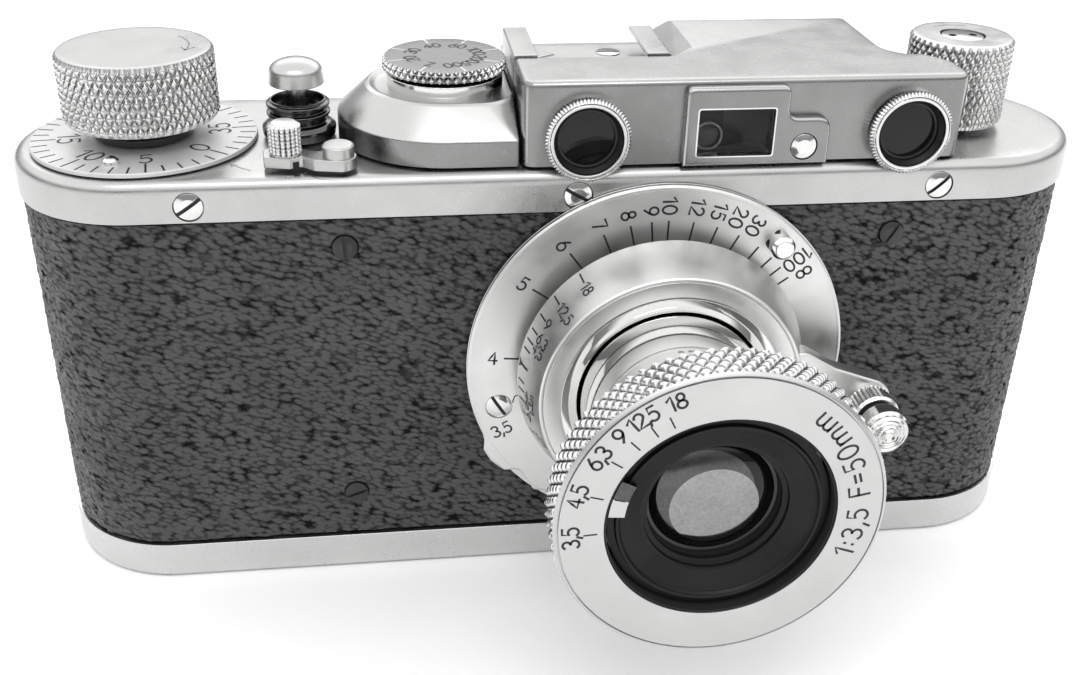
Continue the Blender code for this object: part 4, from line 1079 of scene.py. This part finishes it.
def build_focus():
    front, rear = CONE_FRONT, CONE_REAR
    corners = [(14.5, rear), (CONE_RADII[1], rear, 0.12), (CONE_RADII[0], front + 0.15, 0.1),
               (15.95, front, 0.06), (15.75, front, 0.05), (15.68, front + 0.12), (15.6, front, 0.05),
               (13.75, front, 0.03), (13.72, front + 0.4), (11.8, front + 0.4), (11.7, front + 2.2),
               (14.5, front + 2.2)]
    hoop("focus_scale", corners, LENS, LENS_CHROME, "focus", "satin_chrome", "focus_cone", rounding=3,
         steps=160)
    corners = [(13.5, front + 0.35), (13.5, front, 0.08), (12.5, front + 0.02, 0.6),
               (11.48, front + 0.5, 0.3), (11.48, front + 1.4), (11.6, front + 0.9)]
    hoop("focus_bezel", corners, LENS, MIRROR, "focus", "polished_steel", steps=160)
    corners = [(14.2, -14.6), (14.2, -18.0), (12.6, -18.0), (12.6, -14.6)]
    hoop("helicoid_neck", corners, LENS, BLACKENED, "helicoid", "brass")

    marks = Marks()
    index = 171.4
    marks.line([(0, 0), (2.0, 0)], cone_place(index, 0.5), 0.32)
    marks.line([(0, 0.45), (0.7, 0), (0, -0.45)], cone_place(index, 0.35), 0.22)
    stops = ((7.0, ""), (11.0, "4,5"), (15.6, "6,3"), (22.3, "9"), (31.3, "12,5"), (44.3, "18"))
    for offset, label in stops:
        for angle in (index - offset, index + offset):
            marks.line([(0, 0), (1.5, 0)], cone_place(angle, 0.6), 0.22)
            marks.text(label, 1.35, cone_place(angle, 2.4), 0.19, 0.24, start=0)
    marks.make("depth_marks", "focus")


def build_focus_lever():
    """The arm, its knurled collar and the button that locks it at infinity."""
    turn = math.degrees(math.atan2(BUTTON[1] - LENS[1], BUTTON[0] - LENS[0]))
    low, high = limits("focus_lever")
    neck = [(*polar(LENS, radius, turn + angle), corner)
            for radius, angle, corner in ((14.6, 24, 0), (17.4, 22, 2.0), (20.8, 12.5, 3.0),
                                          (21.0, -8.5, 2.0), (17.6, -15, 2.0), (14.6, -18, 0))]
    outline = neck[:3] + arc(BUTTON, 3.1, turn + 75, turn - 75, 18) + neck[3:]
    face, back = -23.6, high[1]
    levels = soften([(0.1, back), (0, back - 0.1), (0, face, 0.3), (0.7, face)])
    arm = prism("focus_arm", outline, levels, LENS_CHROME, "Y", 6)
    fit(arm, "focus", "satin_chrome", "focus_lever")
    outer, teeth, end = 2.9, 30, low[1]
    section = [(1.6, face + 0.2), (2.5, face + 0.2), (2.5, face - 0.5), (outer, face - 0.9)]
    section += band(outer, face - 1.0, end + 0.45, 8)
    section += [(outer, end + 0.35), (2.6, end), (2.35, end), (2.35, face - 1.4), (1.6, face - 1.4)]
    turned("focus_grip", section, BUTTON, KNURL, "focus", "polished_steel", closed=True, steps=teeth * 9,
           shape=flutes(outer, teeth, 0.3, end + 0.4, face - 0.95, 0.1))
    low, high = limits("infinity_button")
    tip, rear, rim = low[1], low[1] + 3.35, 2.55
    section = soften([(1.2, high[1]), (1.2, rear), (2.74, rear, 0.12), (2.8, tip + 1.5, 0.3),
                      (2.6, tip + 1.0, 0.15)], steps=4)
    for k, radius in enumerate(np.linspace(rim, 0.62, 28)):
        section.append((radius, tip + 0.10 + 0.63 * (radius / rim) ** 2 + 0.10 * math.sin(k * 0.93)))
    section += [(0.45, tip + 0.25), (0.03, tip + 0.25)]
    turned("infinity_catch", section, BUTTON, POLISHED, "infinity_lock", "polished_steel", "infinity_button",
           steps=64)
    corners = [(1.25, end + 1.2), (2.2, end + 1.2), (2.2, rear - 0.05), (1.25, rear - 0.05)]
    hoop("catch_sleeve", corners, BUTTON, MATT_BLACK, "infinity_lock", "black_paint", steps=48)


def build_front():
    low, high = limits("lens_tube")
    outer = (high[0] - low[0]) / 2
    corners = [(outer - 0.9, high[1]), (outer, high[1], 0.1), (outer, low[1], 0.1), (outer - 0.9, low[1])]
    hoop("draw_tube", corners, LENS, MIRROR, "tube", "polished_steel", "lens_tube", steps=128)

    outer, count = 18.0, 76
    front, back = BARREL_FRONT, BARREL_BACK
    section = [(11.65, back), (17.1, back), (17.45, back - 0.12)]
    section += band(outer, back - 0.40, front + 0.72, 44)
    section += soften([(outer, front + 0.72), (17.6, front + 0.60, 0.05), (17.85, front + 0.42, 0.1),
                       (17.42, front + 0.06, 0.1), (17.38, front + 0.32), (17.26, front + 0.32),
                       (17.22, FRONT_FACE, 0.05), (12.45, FRONT_FACE, 0.08), (12.4, front + 3.6),
                       (11.65, front + 3.6)], steps=3)[1:]
    barrel = lathe("front_ring", section, LENS, FACE_CHROME, closed=True, steps=count * 12,
                   shape=diamonds(outer, count, 1.95, 0.42, 1.25, low=front + 0.66))
    refinish(barrel, KNURL, lambda spot, way: math.dist(spot.xz, LENS) > 17.3 and spot.y > front + 0.6)
    fit(barrel, "tube", "satin_chrome", "front_barrel")
    corners = [(12.38, front + 0.25), (12.38, front + 3.5), (12.2, front + 3.5), (12.2, front + 0.25)]
    hoop("front_lining", corners, LENS, MATT_BLACK, "tube", "black_paint", steps=128)

    marks = Marks()
    stops = ((111.6, 116.2, "18"), (125.0, 124.4, "12,5"), (135.4, 134.4, "9"), (147.0, 145.8, "6,3"),
             (164.9, 164.1, "4,5"), (183.9, 183.3, "3,5"))
    for angle, line, label in stops:
        marks.line([(0, 13.2), (0, 14.55)], disc_place(LENS, line, 0, "out", FRONT_FACE, "Y"), 0.18)
        gap = 0.11 if len(label) > 3 else 0.18
        around(marks, label, angle, 15.95, "out", 1.75, LENS, FRONT_FACE, "Y", 0.28, gap)
    around(marks, "1:3,5 F=50mm", 15.8, 14.75, "in", 2.2, LENS, FRONT_FACE, "Y", 0.28, 0.28)
    marks.make("front_marks", "tube")


def build_stop():
    """The ring behind the front ring and its pointer, bright at the end, with painted shade on its shoulder
    half.
    """
    low, high = limits("aperture_ring")
    face, lip = low[1], BARREL_FRONT + 0.9
    section = [(11.95, high[1]), (11.95, lip + 0.5), (11.2, lip + 0.45), (11.05, lip), (10.75, lip)]
    section += [(10.6 - 0.13 * k, lip + 0.35 + 0.05 * k + 0.05 * (k % 2)) for k in range(20)]
    section += soften([(7.95, lip + 1.4), (7.9, lip + 1.9, 0.1), (7.35, lip + 2.05, 0.1), (7.3, high[1])],
                      steps=3)
    turned("stop_ring", section, LENS, PAINT, "aperture", "black_paint", "aperture_ring", closed=True,
           steps=128)
    # painted shade: the shoulder half of the pointer is a separate piece in the dark mirror finish
    for name, start, end, finish in (("stop_pointer", 163.9, 175, FACE_CHROME),
                                     ("stop_pointer_shaded_half", 153, 163.9, DIM_MIRROR)):
        outline = arc(LENS, 12.1, start, end, 8) + arc(LENS, 10.3, end, start, 8)
        levels = soften([(0, lip + 0.2), (0, face, 0.2), (0.25, face)], steps=4)
        fit(prism(name, outline, levels, finish, "Y"), "aperture", "polished_steel")
    marks = Marks()
    marks.line([(0, 10.8), (0, 11.85)], disc_place(LENS, 164, 0, "out", face, "Y"), 0.14)
    marks.make("pointer_mark", "aperture")


def build_glass():
    """The front lens in its cell, with two thin sheets laid on it as painted reflections of deeper glasses."""
    low, high = limits("lens_cell")
    corners = [(7.3, high[1]), (9.9, high[1]), (9.9, low[1]), (7.3, low[1])]
    hoop("glass_cell", corners, LENS, MATT_BLACK, "tube", "black_paint", "lens_cell")
    low, high = limits("front_element")

    def dome(away):
        return low[1] + 2.3 * (1 - math.sqrt(1 - (away / 7.15) ** 2))

    section = [(7.0, high[1])] + [(r, dome(r)) for r in np.linspace(6.95, 0.05, 16)]
    turned("front_glass", section, LENS, GLASS, "tube", "glass", "front_element")
    # painted reflection: two opaque sheets just in front of the dome, one dark and one lighter, off the axis
    rings, steps = 12, 72
    for name, dx, dz, reach, lift, finish in (("painted_reflection_broad", -0.9, 0.9, 5.3, 0.010, DIM_MIRROR),
                                              ("painted_reflection_bright", 0.1, -0.7, 4.9, 0.022, GLASS_REFLECTION_PAINT)):
        verts = []
        for r in np.linspace(reach, 0.05, rings):
            for x, z in arc((dx, dz), r, 0, 355, steps - 1):
                verts.append((LENS[0] + x, dome(math.hypot(x, z)) - lift, LENS[1] + z))
        faces = grid_faces(rings, steps) + [tuple(range(steps * (rings - 1), steps * rings))]
        fit(solid(name, verts, faces, finish), "tube", "glass")
    corners = [(7.0, low[1] + 1.9), (7.3, low[1] + 1.9), (7.3, low[1] + 1.4, 0.1),
               (6.85, low[1] + 1.55, 0.05)]
    hoop("glass_rim", corners, LENS, BLACKENED, "tube", "blackened_steel")


# ---------------------------------------------------------------- underside
def build_underside():
    top, rest = limits("base_lock_key")[1][2], 0.12
    section = soften([(0.05, 1.05), (6.75, 1.05, 0.1), (6.95, rest, 0.08), (7.6, rest, 0.1), (7.6, 1.5),
                      (9.0, 1.5), (9.0, 2.2), (3.4, 2.2), (3.4, top), (0.05, top)])
    turned("lock_dish", section, LOCK, CHROME, "base_key", "satin_chrome", "base_lock_key", axis="Z")
    low, high = limits("base_key_handle")
    x, inner, outer = LOCK[0], 5.0, 6.2
    outline = arc(LOCK, outer, 0, 180, 40) + [(x - outer, low[1]), (x - inner, low[1])]
    outline += arc(LOCK, inner, 180, 0, 36) + [(x + inner, low[1]), (x + outer, low[1])]
    levels = [(0.12, low[2]), (0, low[2] + 0.1), (0, high[2] - 0.1), (0.12, high[2])]
    fit(prism("lock_handle", outline, levels, POLISHED), "key_handle", "polished_steel", "base_key_handle")
    low, high = limits("tripod_bush")
    section = [(3.0, low[2] + 0.3), (3.3, low[2]), (5.9, low[2]), (6.0, low[2] + 0.1), (6.0, 1.5),
               (7.2, 1.5), (7.2, high[2])]
    pitch = 0.22
    threads = range(int((high[2] - low[2] - 0.4) / pitch))
    section += [(3.0 + 0.18 * (k % 2), high[2] - pitch * k) for k in threads]
    turned("tripod_thread", section, TRIPOD, POLISHED, "base", "polished_steel", "tripod_bush", axis="Z",
           closed=True, steps=72)


def finish_kept_nodes():
    """CAD pieces that are seen only through openings keep their shape and get a worked surface."""
    kept = {"body_shell": BLACKENED, "shutter_crate": MATT_BLACK, "pressure_plate": BLACKENED,
            "shutter_curtain": CLOTH, "shutter_roller": BRASS, "take_up_spool": PAINT,
            "speed_dial_shaft": BRASS, "rewind_shaft": POLISHED, "helicoid_ring": BRASS, "bayonet_ring": BRASS,
            "iris_ring": BLACKENED, "rear_element": GLASS}
    for node, finish in kept.items():
        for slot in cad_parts[node].material_slots:
            slot.material = finish


# ---------------------------------------------------------------- studio
def area(name, place, aim, size, power):
    lamp = bpy.data.lights.new(name, "AREA")
    lamp.shape = "RECTANGLE"
    lamp.size, lamp.size_y = size
    lamp.energy = power
    made = bpy.data.objects.new(name, lamp)
    made.location = place
    made.rotation_euler = (Vector(aim) - Vector(place)).to_track_quat("-Z", "Y").to_euler()
    bpy.context.scene.collection.objects.link(made)


def build_world():
    """An even light from all round, dim below and bright above."""
    world = bpy.data.worlds.new("studio")
    bpy.context.scene.world = world
    world.use_nodes = True
    tree = world.node_tree
    place = add(tree, "TexCoord", {}).outputs["Generated"]
    height = add(tree, "SeparateXYZ", {0: place}).outputs["Z"]
    ramp = add(tree, "ValToRGB", {0: height})
    for i, (spot, level) in enumerate(((0.0, 0.28), (0.24, 0.42), (0.42, 1.60), (1.0, 1.45))):
        stop = ramp.color_ramp.elements[i] if i < 2 else ramp.color_ramp.elements.new(spot)
        stop.position, stop.color = spot, (level, level, level, 1)
    tree.links.new(ramp.outputs[0], tree.nodes["Background"].inputs["Color"])


def build_camera():
    camera = bpy.data.objects.new("photo_camera", bpy.data.cameras.new("photo_camera"))
    camera.data.lens = 42.43
    camera.data.sensor_width = 36.0
    camera.data.clip_start = 0.01
    forward, up = Vector((0.1202, 0.8676, -0.4826)), Vector((0.0429, 0.4811, 0.8756))
    right = forward.cross(up).normalized()
    up = right.cross(forward).normalized()
    turn = Matrix((right, up, -forward.normalized())).transposed().to_4x4()
    camera.matrix_world = Matrix.Translation((-0.0232, -0.1524, 0.1104)) @ turn
    bpy.context.scene.collection.objects.link(camera)
    bpy.context.scene.camera = camera


def build_studio():
    side = 3000
    corners = [(-side, -side), (side, -side), (side, side), (-side, side)]
    pale = surface("pale_floor", (0.92, 0.92, 0.92), 0.6, 0.0, size=0.6, grain=0.05, mottle=0.01)
    floor = prism("floor", corners, [(0, -20), (0, 0)], pale)
    build_world()
    area("softbox_front", (-0.04, -0.24, 0.50), (0, -0.01, 0.03), (0.34, 0.16), 0.55)
    area("softbox_rear", (0.08, 0.60, 0.42), (0, 0, 0.05), (0.90, 0.30), 0.8)
    build_camera()
    bpy.context.scene.view_settings.view_transform = "Standard"


build_covers()
build_leather()
build_housing()
build_shoe()
build_finder()
build_windows()
build_eyepieces()
build_wind()
build_counter()
build_release()
build_boss()
build_dial()
build_rewind()
build_lever()
build_plate_marks()
build_mount()
build_distance_scale()
build_focus()
build_focus_lever()
build_front()
build_stop()
build_glass()
build_underside()
finish_kept_nodes()
build_studio()
